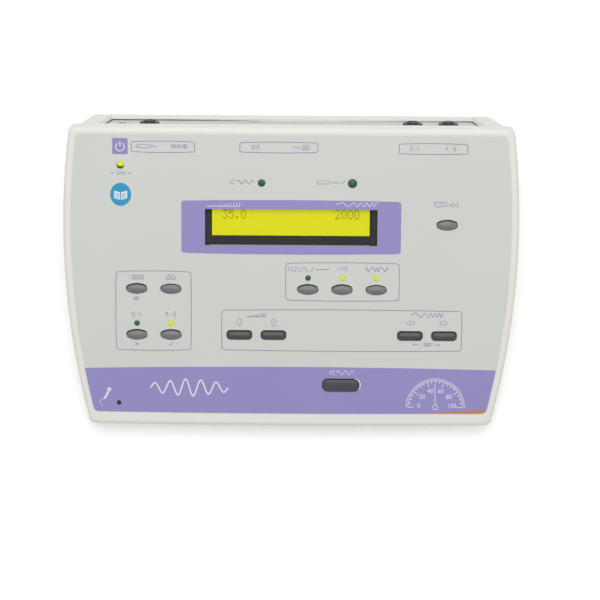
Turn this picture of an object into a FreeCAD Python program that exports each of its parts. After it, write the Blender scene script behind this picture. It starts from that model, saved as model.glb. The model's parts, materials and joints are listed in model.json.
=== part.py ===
import FreeCAD, Part
import math
import os

# Screening audiometer: a wedge-shaped desk instrument with a sloping face.
# Row frame: +X to the user's right, +Y to the rear, +Z up, origin on the desk
# under the middle of the bounding box.  Millimetres and degrees.
# Face frame: u along X, v up the slope from the front edge, w out of the face.

V = FreeCAD.Vector

# ---------------------------------------------------------------- housing
width = 270.0             # across the bowed sides, at their widest
face_length = 180.0       # front edge to rear edge, along the slope
slope = 12.0              # of the face, from the desk
height = 60.0             # desk to the highest point of the rear edge
side_radius = 475.0       # plan radius of the bowed sides
widest_at = 119.5         # v of the widest point
front_bow = 0.8           # how far the front edge bows out in its middle
corner_rear = 4.0         # plan radius of the rear corners
corner_front = 4.5        # plan radius of the front corners
edge_round = 2.6          # rounding where the face meets the skirt
skirt_depth = 12.0        # top cover, face to parting line
cover_wall = 2.4
face_wall = 2.6
base_step = 1.6           # the base sits this far inside the cover's skirt
base_wall = 2.5
floor_wall = 2.5
side_draft = 9.5          # degrees, base sides lean in towards the floor
front_draft = 6.0         # degrees, base front leans in towards the floor
tongue_height = 3.0       # lip of the base inside the skirt
tongue_wall = 1.5
slip = 0.2                # clearance between fixed pieces that slide together
play = 0.3                # clearance round pieces that move

# ---------------------------------------------------------------- feet and case screws
foot_height = 2.5         # foot below the floor
foot_radius = 7.0
foot_sunk = 1.0
foot_x = 98.0
foot_front_y = -68.0
foot_rear_y = 72.0
boss_radius = 4.6
boss_front = (108.0, 28.0)
boss_rear_back = 30.0     # from the rear edge
boss_rear = (112.0, face_length - boss_rear_back)
boss_web = 3.0            # left under the screw head
head_radius = 2.8
head_gap = 0.5            # round the head in its counterbore
head_height = 2.0
shank_radius = 1.2
screw_length = 9.0        # case
board_screw_length = 6.0
hidden_sides = 8          # of round forms that the housing hides

# ---------------------------------------------------------------- printed overlay
overlay_side = 3.9        # recess from the cover's edge, sides
overlay_rear = 3.9        # rear
overlay_front = 7.1       # front
overlay_thick = 0.45
overlay_corner = 3.0
overlay_gap = 0.7         # recess floor left showing round the overlay

# ---------------------------------------------------------------- keys
key_pitch = 20.32         # columns
row_present = 24.6        # v of each key row
row_arrow = 54.85
row_menu = 82.8
row_talk = 122.1
tone_key_shift = -0.3     # from its column
talk_key_shift = 0.9
key_travel = 0.8
key_proud = 1.5           # crown above the face
key_shoulder = 0.3        # straight side above the face
flange_reach = 1.2        # retaining flange beyond the key's outline
flange_thick = 1.2
stem_side = 2.8
stem_reach = 2.4          # stem inside its switch at rest
oval_key = (12.1, 5.5)    # length, breadth
bar_key = (14.9, 4.9)
wide_key = (22.0, 7.2)
oval_end = 1.8            # radius of an oval key's ends
bar_corner = 2.2
bar_crown_rise = 0.6      # of the barrel-shaped top, side to middle
bar_edge_bevel = 0.45
switch_side = 6.2
switch_height = 4.5

# ---------------------------------------------------------------- keypad board and lamps
board_drop = 10.0         # face to the top of the keypad board
board_thick = 1.6
board_half_width = 103.4
board_front = 12.0        # v of its front edge
board_rear_gap = 7.4      # to the rear panel
board_corner = 3.0
board_post_radius = 3.0
board_posts = ((-98.0, 112.0), (98.0, 100.0), (-50.0, 22.0), (72.0, 22.0))
board_gap = 1.5           # round what stands in its cut-outs
small_lamp = 1.5          # radii
middle_lamp = 2.1
large_lamp = 2.6
lamp_proud = 0.9
lamp_dome = 1.8           # radius of the lamp's end, in lamp radii
lamp_holder = 0.5         # square holder beyond the lamp
lamp_body = 3.6           # lamp below the face
lamp_gap = 0.15
lamp_above_key = 7.1      # v from a key to the lamp above it
lamp_above_window = 26.7  # v from the display's middle to the lamps above it
power_lamp_back = 22.8    # from the rear edge

# ---------------------------------------------------------------- display
window_size = (102.0, 21.9)
window_v = 120.2          # middle of the opening
lens_thick = 1.2
lens_margin = 3.0         # lens beyond the opening
frame_size = (107.0, 30.2)
frame_v = window_v + 1.7
frame_corner = 1.0
frame_sheet = 0.6
frame_drop = 3.3          # face to the top of the metal frame
frame_height = 6.5
view_size = (95.2, 21.4)  # hole in the metal frame
view_v = window_v + 1.6
view_chamfer = 0.5
glass_thick = 2.5
display_board_size = (118.0, 37.0)
display_post_radius = 2.2
display_post_grid = (112.4, 32.4)

# ---------------------------------------------------------------- microphone
microphone_at = (-102.4, 13.2)
microphone_radius = 4.85
microphone_height = 6.7
microphone_hole = 1.4
microphone_ring = 1.0

# ---------------------------------------------------------------- rear panel and sockets
pocket_depth = 2.3        # panel face inside the rear wall
pocket_bottom_half = 109.1
pocket_top_half = 118.0
pocket_lean = 1.2         # how far the pocket's sides slope in at the top
pocket_sill = 3.8         # z where the sloping sill meets the rear wall
sill_rise = 6.0           # rise of the sill from there to the panel
panel_thick = 2.0
panel_into_groove = 2.0
panel_top = 9.0           # face to the panel's top edge
rear_frame_depth = 7.2    # posts and sill that hold the panel
shadow_gap = 0.6          # groove between the sill and the panel's face
socket_drop = 26.0        # face to the sockets' axes
jack_x = {"left_jack": 71.8, "right_jack": 93.2, "response_jack": -84.8}
jack_body = (11.0, 14.0)  # breadth, depth
jack_bore = 1.8
jack_bushing = 3.2
jack_reach = 3.6          # bushing beyond the panel's face
nut_radii = (5.85, 4.1)   # of the flanged nuts, flange and crown
nut_flange = 2.5          # thickness of the flange
nut_crown = 0.9           # height of the cone on it
inlet_x = -65.6
inlet_breadth = 9.6
inlet_depth = 14.0
inlet_nose = 4.2
inlet_bore = 3.1
inlet_bore_depth = 9.5
inlet_pin = 1.0
usb_x = -21.0
usb_outer = (12.0, 10.9)
usb_mouth = (8.5, 7.8)
usb_tongue = (5.7, 3.2)
usb_depth = 16.0
usb_bore_depth = 9.0
usb_tongue_recess = 1.0
usb_mouth_chamfer = 1.6
printer_x = 6.5
printer_body = (14.0, 12.5)
printer_nose = 6.3
printer_shell = 4.9
printer_core = 4.1
printer_bore_depth = 6.5
printer_core_recess = 0.6
socket_proud = 0.5        # rigid sockets beyond the panel's face
power_x = -100.9
power_travel = 4.0
power_knob = (3.7, 3.4)
power_reach = 2.4         # knob beyond the panel's face
power_body = (15.0, 8.0)
power_body_depth = 7.0
power_cavity_depth = 3.2

# ---------------------------------------------------------------- main board
main_half_width = 107.0
main_back = 52.0          # rear edge to the board's front edge
main_front = face_length - main_back
main_thick = 1.6
main_rear_gap = 0.8       # to the back of the panel
main_post_rows = (8.0, 34.0)   # from the board's front edge
main_posts = ((-95.0, main_front + main_post_rows[0]), (95.0, main_front + main_post_rows[0]),
              (-45.0, main_front + main_post_rows[1]), (45.0, main_front + main_post_rows[1]))
main_post_radius = 3.2
main_screw_length = 8.0
main_under_usb = 0.55     # shell's wall under the USB mouth
link_row = 22.0           # flat cable, from the board's front edge
link_v = main_front + link_row
link_width = 20.0
link_thick = 0.8
header_size = (24.0, 5.0, 4.0)
chips = ((-60.0, 14.0), (20.0, 12.0), (58.0, 8.0), (-20.0, 8.0))
chip_row = 12.0
chip_height = 1.8

# ---------------------------------------------------------------- battery bay
cell_radius = 7.1
cell_length = 49.3
cell_nub_radius = 2.75
cell_nub_length = 1.2
cell_rows = 3
cell_row_gap = 0.6
spring_length = 4.0
spring_radii = (3.9, 2.5)  # at the plate and at the cell
contact_thick = 0.5
contact_side = 9.0
bay_partition = 2.0
bay_wall = 1.6
bay_clearance = 6.5       # its rear wall to the main board's front edge
bay_headroom = 0.5        # above and beside the cells
door_thick = 2.2
door_tongue_width = 12.0
door_tongue_reach = 2.3
door_tongue_thick = 1.0
door_tongue_root = 1.2
door_tongue_room = 1.8    # above the tongue, to swing in
door_tongue_x = 36.0
latch_width = 14.0
latch_reach = 1.2
latch_thick = 1.5
scoop_radius = 9.0
scoop_depth = 1.4
door_grips = 3
door_grip_pitch = 3.0
door_grip_radius = 0.7
door_grip_back = 5.0      # from the door's rear edge

# ================================================================ frames
sine = math.sin(math.radians(slope))
cosine = math.cos(math.radians(slope))
front_z = height - (face_length - edge_round) * sine - edge_round * (1.0 - cosine)
rear_v = face_length - base_step


def drop_to(z, v):
    """w at which a line out of the face at v reaches the height z."""
    return (z - front_z - v * sine) / cosine


foremost = (edge_round - front_bow) * cosine + edge_round * sine - edge_round
rearmost = rear_v * cosine - drop_to(foot_height, rear_v) * sine
front_y = -0.5 * (foremost + rearmost)
FACE = FreeCAD.Placement(V(0, front_y, front_z), FreeCAD.Rotation(V(1, 0, 0), slope))


def placed(shape):
    """The shape, moved from the face frame to the row frame."""
    return shape.transformed(FACE.Matrix, True)


def write(name, *solids):
    shape = solids[0] if len(solids) == 1 else Part.makeCompound(list(solids))
    shape.exportStep("parts/" + name + ".step")


# ================================================================ basic forms
def box(across, along, up):
    """Box from three (low, high) pairs."""
    size = [high - low for low, high in (across, along, up)]
    return Part.makeBox(size[0], size[1], size[2], V(across[0], along[0], up[0]))


def about(middle, size):
    """(low, high) of a length centred on a value."""
    return (middle - size / 2.0, middle + size / 2.0)


def rod(radius, u, v, low, high):
    """Cylinder along w."""
    return Part.makeCylinder(radius, high - low, V(u, v, low), V(0, 0, 1))


def polygon(sides, radius, level):
    """Regular polygon about the w axis, at a level."""
    turn = 2.0 * math.pi / sides
    corners = [V(radius * math.cos((side + 0.5) * turn), radius * math.sin((side + 0.5) * turn), level)
               for side in range(sides)]
    return Part.makePolygon(corners + corners[:1])


def hidden_rod(radius, u, v, low, high):
    """Round form along w that the housing hides, with few sides."""
    solid = Part.Face(polygon(hidden_sides, radius, low)).extrude(V(0, 0, high - low))
    solid.translate(V(u, v, 0))
    return solid


def hidden_cone(low_radius, high_radius, length):
    """The same for a cone, from the origin along w."""
    return Part.makeLoft([polygon(hidden_sides, low_radius, 0.0), polygon(hidden_sides, high_radius, length)],
                         True, True)


def rear_prism(sides, radius, u, w, low, high):
    """Regular prism along v."""
    solid = Part.Face(polygon(sides, radius, 0.0)).extrude(V(0, 0, high - low))
    solid.rotate(V(0, 0, 0), V(1, 0, 0), -90.0)
    solid.translate(V(u, low, w))
    return solid


def rear_rod(radius, u, w, low, high):
    """Cylinder along v."""
    return Part.makeCylinder(radius, high - low, V(u, low, w), V(0, 1, 0))


def joined(first, *others):
    return first.fuse(list(others)).removeSplitter()


def outline(w, side, rear, front):
    """Closed outline at the level w, inset at the sides, the rear and the front."""
    half = width / 2.0 - side
    rear_edge = face_length - rear

    def half_at(v):
        return half - side_radius + math.sqrt(side_radius ** 2 - (v - widest_at) ** 2)

    rear_right = V(half_at(rear_edge), rear_edge, w)
    rear_left = V(-half_at(rear_edge), rear_edge, w)
    front_right = V(half_at(front), front, w)
    front_left = V(-half_at(front), front, w)
    edges = [
        Part.LineSegment(rear_right, rear_left).toShape(),
        Part.Arc(rear_left, V(-half, widest_at, w), front_left).toShape(),
        Part.Arc(front_left, V(0, front - front_bow, w), front_right).toShape(),
        Part.Arc(front_right, V(half, widest_at, w), rear_right).toShape(),
    ]
    return Part.Wire(edges)


def rounded_uprights(solid, low, high, rear_radius, front_radius):
    """The solid with its upright corners rounded, rear and front."""
    middle = face_length / 2.0

    def uprights(of):
        return [edge for edge in of.Edges
                if abs(edge.Vertexes[0].Z - edge.Vertexes[-1].Z) > 0.5 * (high - low)]

    solid = solid.makeFillet(rear_radius, [edge for edge in uprights(solid) if edge.CenterOfMass.y > middle])
    return solid.makeFillet(front_radius, [edge for edge in uprights(solid) if edge.CenterOfMass.y < middle])


def upright_block(low, high, insets, rear_radius, front_radius):
    """Solid of one outline between two levels."""
    solid = Part.Face(outline(low, *insets)).extrude(V(0, 0, high - low))
    return rounded_uprights(solid, low, high, rear_radius, front_radius)


def tapered(low, low_insets, high, high_insets, rear_radius, front_radius):
    """Solid between two outlines of different size."""
    solid = Part.makeLoft([outline(low, *low_insets), outline(high, *high_insets)], True, True)
    return rounded_uprights(solid, low, high, rear_radius, front_radius)


def rounded_box(across, along, up, radius):
    solid = box(across, along, up)
    upright = [edge for edge in solid.Edges if abs(edge.Vertexes[0].Z - edge.Vertexes[-1].Z) > 1e-6]
    return solid.makeFillet(radius, upright)


# ================================================================ key forms
def oval_prism(length, breadth, low, high):
    """Prism on an oval of four arcs that run into each other."""
    end = oval_end + (breadth - oval_key[1]) / 2.0
    tip = length / 2.0
    side = breadth / 2.0
    flat = ((tip - end) ** 2 + side ** 2 - end ** 2) / (2.0 * (side - end))
    meet_u = flat * (tip - end) / (flat - end)
    meet_v = flat * (flat - side) / (flat - end) - (flat - side)

    def spot(u, v):
        return V(u, v, low)

    arcs = [
        Part.Arc(spot(meet_u, -meet_v), spot(tip, 0), spot(meet_u, meet_v)),
        Part.Arc(spot(meet_u, meet_v), spot(0, side), spot(-meet_u, meet_v)),
        Part.Arc(spot(-meet_u, meet_v), spot(-tip, 0), spot(-meet_u, -meet_v)),
        Part.Arc(spot(-meet_u, -meet_v), spot(0, -side), spot(meet_u, -meet_v)),
    ]
    wire = Part.Wire([arc.toShape() for arc in arcs])
    return Part.Face(wire).extrude(V(0, 0, high - low))


def bar_prism(length, breadth, low, high):
    radius = min(bar_corner + (breadth - bar_key[1]) / 2.0, 0.49 * breadth)
    return rounded_box(about(0, length), about(0, breadth), (low, high), radius)


def oval_top(length, breadth, low):
    """Oval shaft with a domed top, a ball's surface."""
    block = oval_prism(length, breadth, low, key_proud + 1.0)
    rise = key_proud - key_shoulder
    ball_radius = (length ** 2 / 4.0 + rise ** 2) / (2.0 * rise)
    return block.common(Part.makeSphere(ball_radius, V(0, 0, key_proud - ball_radius)))


def bar_top(length, breadth, low):
    """Bar-shaped shaft with a barrel-shaped top and bevelled edges."""
    block = bar_prism(length, breadth, low, key_proud + 1.0)
    barrel_radius = (breadth ** 2 / 4.0 + bar_crown_rise ** 2) / (2.0 * bar_crown_rise)
    barrel = Part.makeCylinder(barrel_radius, 2.0 * length,
                               V(-length, 0, key_proud - barrel_radius), V(1, 0, 0))
    crowned = block.common(barrel)
    top = [edge for edge in crowned.Edges if edge.BoundBox.ZMin > 0.5 * (key_proud - bar_crown_rise)]
    return crowned.makeChamfer(bar_edge_bevel, top)


KEY_FORMS = {
    "oval": (oval_key, oval_prism, oval_top),
    "bar": (bar_key, bar_prism, bar_top),
    "wide": (wide_key, bar_prism, bar_top),
}


def column(index):
    return key_pitch * (index + 0.5)


KEYS = {
    "menu_key": ("oval", column(-5), row_menu),
    "print_key": ("oval", column(-4), row_menu),
    "left_key": ("oval", column(-5), row_arrow),
    "right_key": ("oval", column(-4), row_arrow),
    "pulse_key": ("oval", column(0), row_menu),
    "boost_key": ("oval", column(1), row_menu),
    "warble_key": ("oval", column(2), row_menu),
    "talk_key": ("oval", column(4) + talk_key_shift, row_talk),
    "level_down_key": ("bar", column(-2), row_arrow),
    "level_up_key": ("bar", column(-1), row_arrow),
    "pitch_down_key": ("bar", column(3), row_arrow),
    "pitch_up_key": ("bar", column(4), row_arrow),
    "tone_key": ("wide", column(1) + tone_key_shift, row_present),
}

LAMPS = {
    "power_lamp": (middle_lamp, -100.9, face_length - power_lamp_back),
    "tone_lamp": (middle_lamp, -17.6, window_v + lamp_above_window),
    "answer_lamp": (large_lamp, 36.0, window_v + lamp_above_window),
    "left_lamp": (small_lamp, column(-5), row_arrow + lamp_above_key),
    "right_lamp": (small_lamp, column(-4), row_arrow + lamp_above_key),
    "pulse_lamp": (small_lamp, column(0), row_menu + lamp_above_key),
    "boost_lamp": (small_lamp, column(1), row_menu + lamp_above_key),
    "warble_lamp": (small_lamp, column(2), row_menu + lamp_above_key),
}


def key_opening(kind, low, high):
    """Cutter for the hole in the overlay round a key."""
    (length, breadth), prism, top = KEY_FORMS[kind]
    return prism(length + 2.0 * play, breadth + 2.0 * play, low, high)


def cover_opening(kind, low, high):
    """Cutter for the plain hole in the cover under the overlay's."""
    (length, breadth), prism, top = KEY_FORMS[kind]
    return box(about(0, length + 2.0 * play), about(0, breadth + 2.0 * play), (low, high))


def make_key(kind):
    (length, breadth), prism, top = KEY_FORMS[kind]
    under = -face_wall - play
    switch_top = switch_height - board_drop
    flange = box(about(0, length + 2.0 * flange_reach), about(0, breadth + 2.0 * flange_reach),
                 (under - flange_thick, under))
    stem = box(about(0, stem_side), about(0, stem_side), (switch_top - stem_reach, under - flange_thick))
    return joined(top(length, breadth, under), flange, stem)


def make_switch():
    body = box(about(0, switch_side), about(0, switch_side), (-board_drop, switch_height - board_drop))
    well = box(about(0, stem_side + 2.0 * play), about(0, stem_side + 2.0 * play),
               (switch_height - board_drop - stem_reach - key_travel - play, switch_height - board_drop + 1.0))
    return body.cut(well)


def make_lamp(radius, u, v):
    """Round lamp with a low domed end, on a square holder."""
    dome_radius = lamp_dome * radius
    rim = lamp_proud - dome_radius + math.sqrt(dome_radius ** 2 - radius ** 2)
    body = rod(radius, u, v, -lamp_body, rim)
    cap = Part.makeSphere(dome_radius, V(u, v, lamp_proud - dome_radius))
    cap = cap.common(rod(radius, u, v, rim, lamp_proud + 1.0))
    side = 2.0 * (radius + lamp_holder)
    holder = box(about(u, side), about(v, side), (-board_drop, -lamp_body))
    return joined(body, cap, holder)


def screw(u, v, seat, length, head_form, up=True):
    """Screw along w, its head bearing on the level seat."""
    sign = 1.0 if up else -1.0
    low, high = sorted((seat, seat + sign * length))
    shank = hidden_rod(shank_radius, u, v, low, high)
    low, high = sorted((seat, seat - sign * head_height))
    return joined(shank, head_form(head_radius, u, v, low, high))


def mirrored_pairs(*spots):
    return [(sign * u, v) for u, v in spots for sign in (-1.0, 1.0)]


CASE_SCREWS = mirrored_pairs(boss_front, boss_rear)
DISPLAY_SCREWS = [(sx * display_post_grid[0] / 2.0, frame_v + sy * display_post_grid[1] / 2.0)
                  for sx in (-1.0, 1.0) for sy in (-1.0, 1.0)]
display_board_top = -frame_drop - frame_height


# ================================================================ top cover and overlay
def overlay_block(gap, low, high):
    insets = (overlay_side + gap, overlay_rear + gap, overlay_front + gap)
    return upright_block(low, high, insets, overlay_corner, overlay_corner)


def make_cover():
    outer = upright_block(-skirt_depth, 0.0, (0, 0, 0), corner_rear, corner_front)
    top_edges = [edge for edge in outer.Edges if edge.BoundBox.ZMin > -1e-3]
    outer = outer.makeFillet(edge_round, top_edges)
    wall = (cover_wall,) * 3
    inner = upright_block(-skirt_depth - 1.0, -face_wall, wall, corner_rear, corner_front)
    cover = outer.cut(inner)
    additions = []
    for u, v in CASE_SCREWS:
        additions.append(hidden_rod(boss_radius, u, v, -skirt_depth, -face_wall))
    for u, v in board_posts:
        additions.append(hidden_rod(board_post_radius, u, v, -board_drop, -face_wall))
    for u, v in DISPLAY_SCREWS:
        additions.append(hidden_rod(display_post_radius, u, v, display_board_top, -face_wall))
    mic_u, mic_v = microphone_at
    cup = rod(microphone_radius + slip + microphone_ring, mic_u, mic_v, -microphone_height, -face_wall)
    additions.append(cup)
    cover = joined(cover, *additions)
    cuts = [overlay_block(0.0, -overlay_thick, 1.0)]
    for u, v in CASE_SCREWS:
        cuts.append(hidden_rod(shank_radius, u, v, -skirt_depth - 1.0, -skirt_depth + screw_length - boss_web))
    for u, v in board_posts:
        cuts.append(hidden_rod(shank_radius, u, v, -board_drop - 1.0, -face_wall - 1.0))
    for u, v in DISPLAY_SCREWS:
        cuts.append(hidden_rod(shank_radius, u, v, display_board_top - 1.0, -face_wall - 1.0))
    cuts.append(rod(microphone_radius + slip, mic_u, mic_v, -microphone_height - 1.0, -face_wall))
    cuts.append(rod(microphone_hole, mic_u, mic_v, -face_wall - 1.0, 1.0))
    window = box(about(0, window_size[0]), about(window_v, window_size[1]), (-face_wall - 1.0, 1.0))
    lens_seat = box(about(0, window_size[0] + 2 * lens_margin + 2 * slip),
                    about(window_v, window_size[1] + 2 * lens_margin + 2 * slip),
                    (-face_wall - 1.0, -face_wall + lens_thick))
    cuts += [window, lens_seat]
    for kind, u, v in KEYS.values():
        hole = cover_opening(kind, -face_wall - 1.0, 1.0)
        hole.translate(V(u, v, 0))
        cuts.append(hole)
    for radius, u, v in LAMPS.values():
        side = 2.0 * (radius + lamp_gap)
        cuts.append(box(about(u, side), about(v, side), (-face_wall - 1.0, 1.0)))
    return cover.cut(cuts)


def make_overlay():
    sheet = overlay_block(overlay_gap, -overlay_thick, 0.0)
    mic_u, mic_v = microphone_at
    cuts = [box(about(0, window_size[0]), about(window_v, window_size[1]), (-1.0, 1.0))]
    for kind, u, v in KEYS.values():
        hole = key_opening(kind, -1.0, 1.0)
        hole.translate(V(u, v, 0))
        cuts.append(hole)
    for radius, u, v in LAMPS.values():
        cuts.append(rod(radius + lamp_gap, u, v, -1.0, 1.0))
    cuts.append(rod(microphone_hole, mic_u, mic_v, -1.0, 1.0))
    return sheet.cut(cuts)


# ================================================================ display
def make_display():
    lens = box(about(0, window_size[0] + 2 * lens_margin),
               about(window_v, window_size[1] + 2 * lens_margin),
               (-face_wall, -face_wall + lens_thick))
    across = about(0, frame_size[0])
    along = about(frame_v, frame_size[1])
    top = -frame_drop
    frame = rounded_box(across, along, (top - frame_height, top), frame_corner)
    hollow = box(about(0, frame_size[0] - 2 * frame_sheet), about(frame_v, frame_size[1] - 2 * frame_sheet),
                 (top - frame_height - 1.0, top - frame_sheet))
    view_low = box(about(0, view_size[0]), about(view_v, view_size[1]), (top - 1.0, top + 1.0))
    lip = []
    for level, grow in ((top - frame_sheet, 0.0), (top, view_chamfer)):
        slab = box(about(0, view_size[0] + 2 * grow), about(view_v, view_size[1] + 2 * grow),
                   (level, level + 1.0))
        lip.append(min(slab.Faces, key=lambda face: face.CenterOfMass.z).OuterWire)
    frame = frame.cut([hollow, view_low, Part.makeLoft(lip, True, True)])
    inner_across = about(0, frame_size[0] - 2 * frame_sheet)
    inner_along = about(frame_v, frame_size[1] - 2 * frame_sheet)
    glass = box(inner_across, inner_along, (top - frame_sheet - glass_thick, top - frame_sheet))
    backlight = box(inner_across, inner_along, (display_board_top, top - frame_sheet - glass_thick))
    board = box(about(0, display_board_size[0]), about(frame_v, display_board_size[1]),
                (display_board_top - board_thick, display_board_top))
    holes = [hidden_rod(shank_radius, u, v, display_board_top - board_thick - 1.0, display_board_top + 1.0)
             for u, v in DISPLAY_SCREWS]
    return lens, frame, glass, backlight, board.cut(holes)


# ================================================================ boards inside
panel_face = rear_v - pocket_depth
panel_back = panel_face - panel_thick
main_top = -socket_drop - usb_outer[1] / 2.0 - main_under_usb


def make_keypad_board():
    board = rounded_box((-board_half_width, board_half_width), (board_front, panel_back - board_rear_gap),
                        (-board_drop - board_thick, -board_drop), board_corner)
    through = (-board_drop - board_thick - 1.0, -board_drop + 1.0)
    cuts = [hidden_rod(shank_radius, u, v, *through) for u, v in board_posts]
    cuts.append(box(about(0, display_board_size[0] + 2.0 * board_gap),
                    about(frame_v, display_board_size[1] + 2.0 * board_gap), through))
    mic_u, mic_v = microphone_at
    cuts.append(hidden_rod(microphone_radius + microphone_ring + 2.0 * board_gap, mic_u, mic_v, *through))
    return board.cut(cuts)


def make_main_board():
    board = box((-main_half_width, main_half_width), (main_front, panel_back - main_rear_gap),
                (main_top - main_thick, main_top))
    holes = [hidden_rod(shank_radius, u, v, main_top - main_thick - 1.0, main_top + 1.0)
             for u, v in main_posts]
    return board.cut(holes)


def make_link():
    """Flat cable between the boards, with a header on each."""
    upper = -board_drop - board_thick
    length, depth, tall = header_size
    top_header = box(about(0, length), about(link_v, depth), (upper - tall, upper))
    low_header = box(about(0, length), about(link_v, depth), (main_top, main_top + tall))
    cable = box(about(0, link_width), about(link_v, link_thick), (main_top + tall, upper - tall))
    return cable, top_header, low_header


def make_chips():
    return [box(about(u, side), about(main_front + chip_row, side), (main_top, main_top + chip_height))
            for u, side in chips]


# ================================================================ sockets on the rear panel
def make_jack(u):
    breadth, depth = jack_body
    body = box(about(u, breadth), (panel_back - depth, panel_back), (main_top, -2 * socket_drop - main_top))
    bushing = rear_rod(jack_bushing, u, -socket_drop, panel_back, panel_face + jack_reach)
    bore = rear_rod(jack_bore, u, -socket_drop, panel_back - depth + 2.0, panel_face + jack_reach + 1.0)
    return joined(body, bushing).cut(bore)


def make_nut(u):
    seat = panel_face + nut_flange
    flange = rear_rod(nut_radii[0], u, -socket_drop, panel_face, seat)
    crown = Part.makeCone(nut_radii[0], nut_radii[1], nut_crown, V(u, seat, -socket_drop), V(0, 1, 0))
    bore = rear_rod(jack_bushing, u, -socket_drop, panel_face - 1.0, seat + nut_crown + 1.0)
    return joined(flange, crown).cut(bore)


def make_inlet():
    mouth = panel_face + socket_proud
    body = box(about(inlet_x, inlet_breadth), (panel_back - inlet_depth, panel_back),
               (main_top, -socket_drop + inlet_nose + 0.6))
    nose = rear_rod(inlet_nose, inlet_x, -socket_drop, panel_back, mouth)
    bore = rear_rod(inlet_bore, inlet_x, -socket_drop, mouth - inlet_bore_depth, mouth + 1.0)
    pin = rear_rod(inlet_pin, inlet_x, -socket_drop, mouth - inlet_bore_depth, mouth - 1.0)
    return joined(joined(body, nose).cut(bore), pin)


def make_usb():
    mouth = panel_face + socket_proud
    shell = box(about(usb_x, usb_outer[0]), (mouth - usb_depth, mouth),
                (main_top, -socket_drop + usb_outer[1] / 2.0))
    cavity = box(about(usb_x, usb_mouth[0]), (mouth - usb_bore_depth, mouth + 1.0),
                 about(-socket_drop, usb_mouth[1]))
    upper = [edge for edge in cavity.Edges
             if abs(edge.CenterOfMass.z - (-socket_drop + usb_mouth[1] / 2.0)) < 1e-6
             and edge.BoundBox.YLength > 1.0]
    cavity = cavity.makeChamfer(usb_mouth_chamfer, upper)
    tongue = box(about(usb_x, usb_tongue[0]), (mouth - usb_bore_depth, mouth - usb_tongue_recess),
                 about(-socket_drop, usb_tongue[1]))
    return joined(shell.cut(cavity), tongue)


def make_printer_socket():
    mouth = panel_face + socket_proud
    body = box(about(printer_x, printer_body[0]), (panel_back - printer_body[1], panel_back),
               (main_top, -socket_drop + printer_nose))
    nose = rear_rod(printer_nose, printer_x, -socket_drop, panel_back, mouth)
    groove = rear_rod(printer_shell, printer_x, -socket_drop, mouth - printer_bore_depth, mouth + 1.0)
    core = rear_rod(printer_core, printer_x, -socket_drop, mouth - printer_bore_depth,
                    mouth - printer_core_recess)
    return joined(joined(body, nose).cut(groove), core)


def power_slot(grow, low, high):
    """Slot that the power knob slides in, from its rest to its travel."""
    across = (power_x - power_knob[0] / 2.0 - grow, power_x + power_knob[0] / 2.0 + power_travel + grow)
    return box(across, (low, high), about(-socket_drop, power_knob[1] + 2 * grow))


def make_power_switch():
    middle = power_x + power_travel / 2.0
    body = box(about(middle, power_body[0]), (panel_back - power_body_depth, panel_back),
               about(-socket_drop, power_body[1]))
    knob_root = panel_back - power_cavity_depth
    body = body.cut(power_slot(play, knob_root - play, panel_back + 1.0))
    foot = box(about(middle, power_body[0]), (panel_back - power_body_depth, panel_back - 1.0),
               (main_top, -socket_drop - power_body[1] / 2.0))
    knob = box(about(power_x, power_knob[0]), (knob_root, panel_face + power_reach),
               about(-socket_drop, power_knob[1]))
    tip = [edge for edge in knob.Edges if edge.BoundBox.YMin > panel_face + power_reach - 1e-3]
    return joined(body, foot), knob.makeFillet(0.5, tip)


def make_rear_panel():
    bottom = sill_inner - panel_into_groove
    half = pocket_top_half - pocket_lean + panel_into_groove
    plate = box((-half, half), (panel_back, panel_face), (bottom, -panel_top))
    hidden_hole = jack_bushing / math.cos(math.pi / hidden_sides)
    cuts = [rear_prism(hidden_sides, hidden_hole, u, -socket_drop, panel_back - 1.0, panel_face + 1.0)
            for u in jack_x.values()]
    cuts.append(rear_rod(inlet_nose, inlet_x, -socket_drop, panel_back - 1.0, panel_face + 1.0))
    cuts.append(rear_rod(printer_nose, printer_x, -socket_drop, panel_back - 1.0, panel_face + 1.0))
    cuts.append(box(about(usb_x, usb_outer[0]), (panel_back - 1.0, panel_face + 1.0),
                    (main_top, -socket_drop + usb_outer[1] / 2.0)))
    cuts.append(power_slot(play, panel_back - 1.0, panel_face + 1.0))
    return plate.cut(cuts)


# ================================================================ base
sill_outer = drop_to(pocket_sill, rear_v)
sill_inner = drop_to(pocket_sill + sill_rise, panel_face)
floor_top = foot_height + floor_wall


def base_insets(w, extra):
    """Insets of the base's outer wall at the level w, plus a wall thickness."""
    depth = -skirt_depth - w
    side = base_step + depth * math.tan(math.radians(side_draft)) + extra
    front = base_step + depth * math.tan(math.radians(front_draft)) + extra
    return (side, base_step + extra, front)


def base_block(extra, low, high):
    return tapered(low, base_insets(low, extra), high, base_insets(high, extra),
                   corner_rear, corner_front)


def pocket_wire(v, bottom_half, top_half, bottom, top):
    corners = [V(-bottom_half, v, bottom), V(bottom_half, v, bottom), V(top_half, v, top),
               V(-top_half, v, top), V(-bottom_half, v, bottom)]
    return Part.makePolygon(corners)


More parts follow.
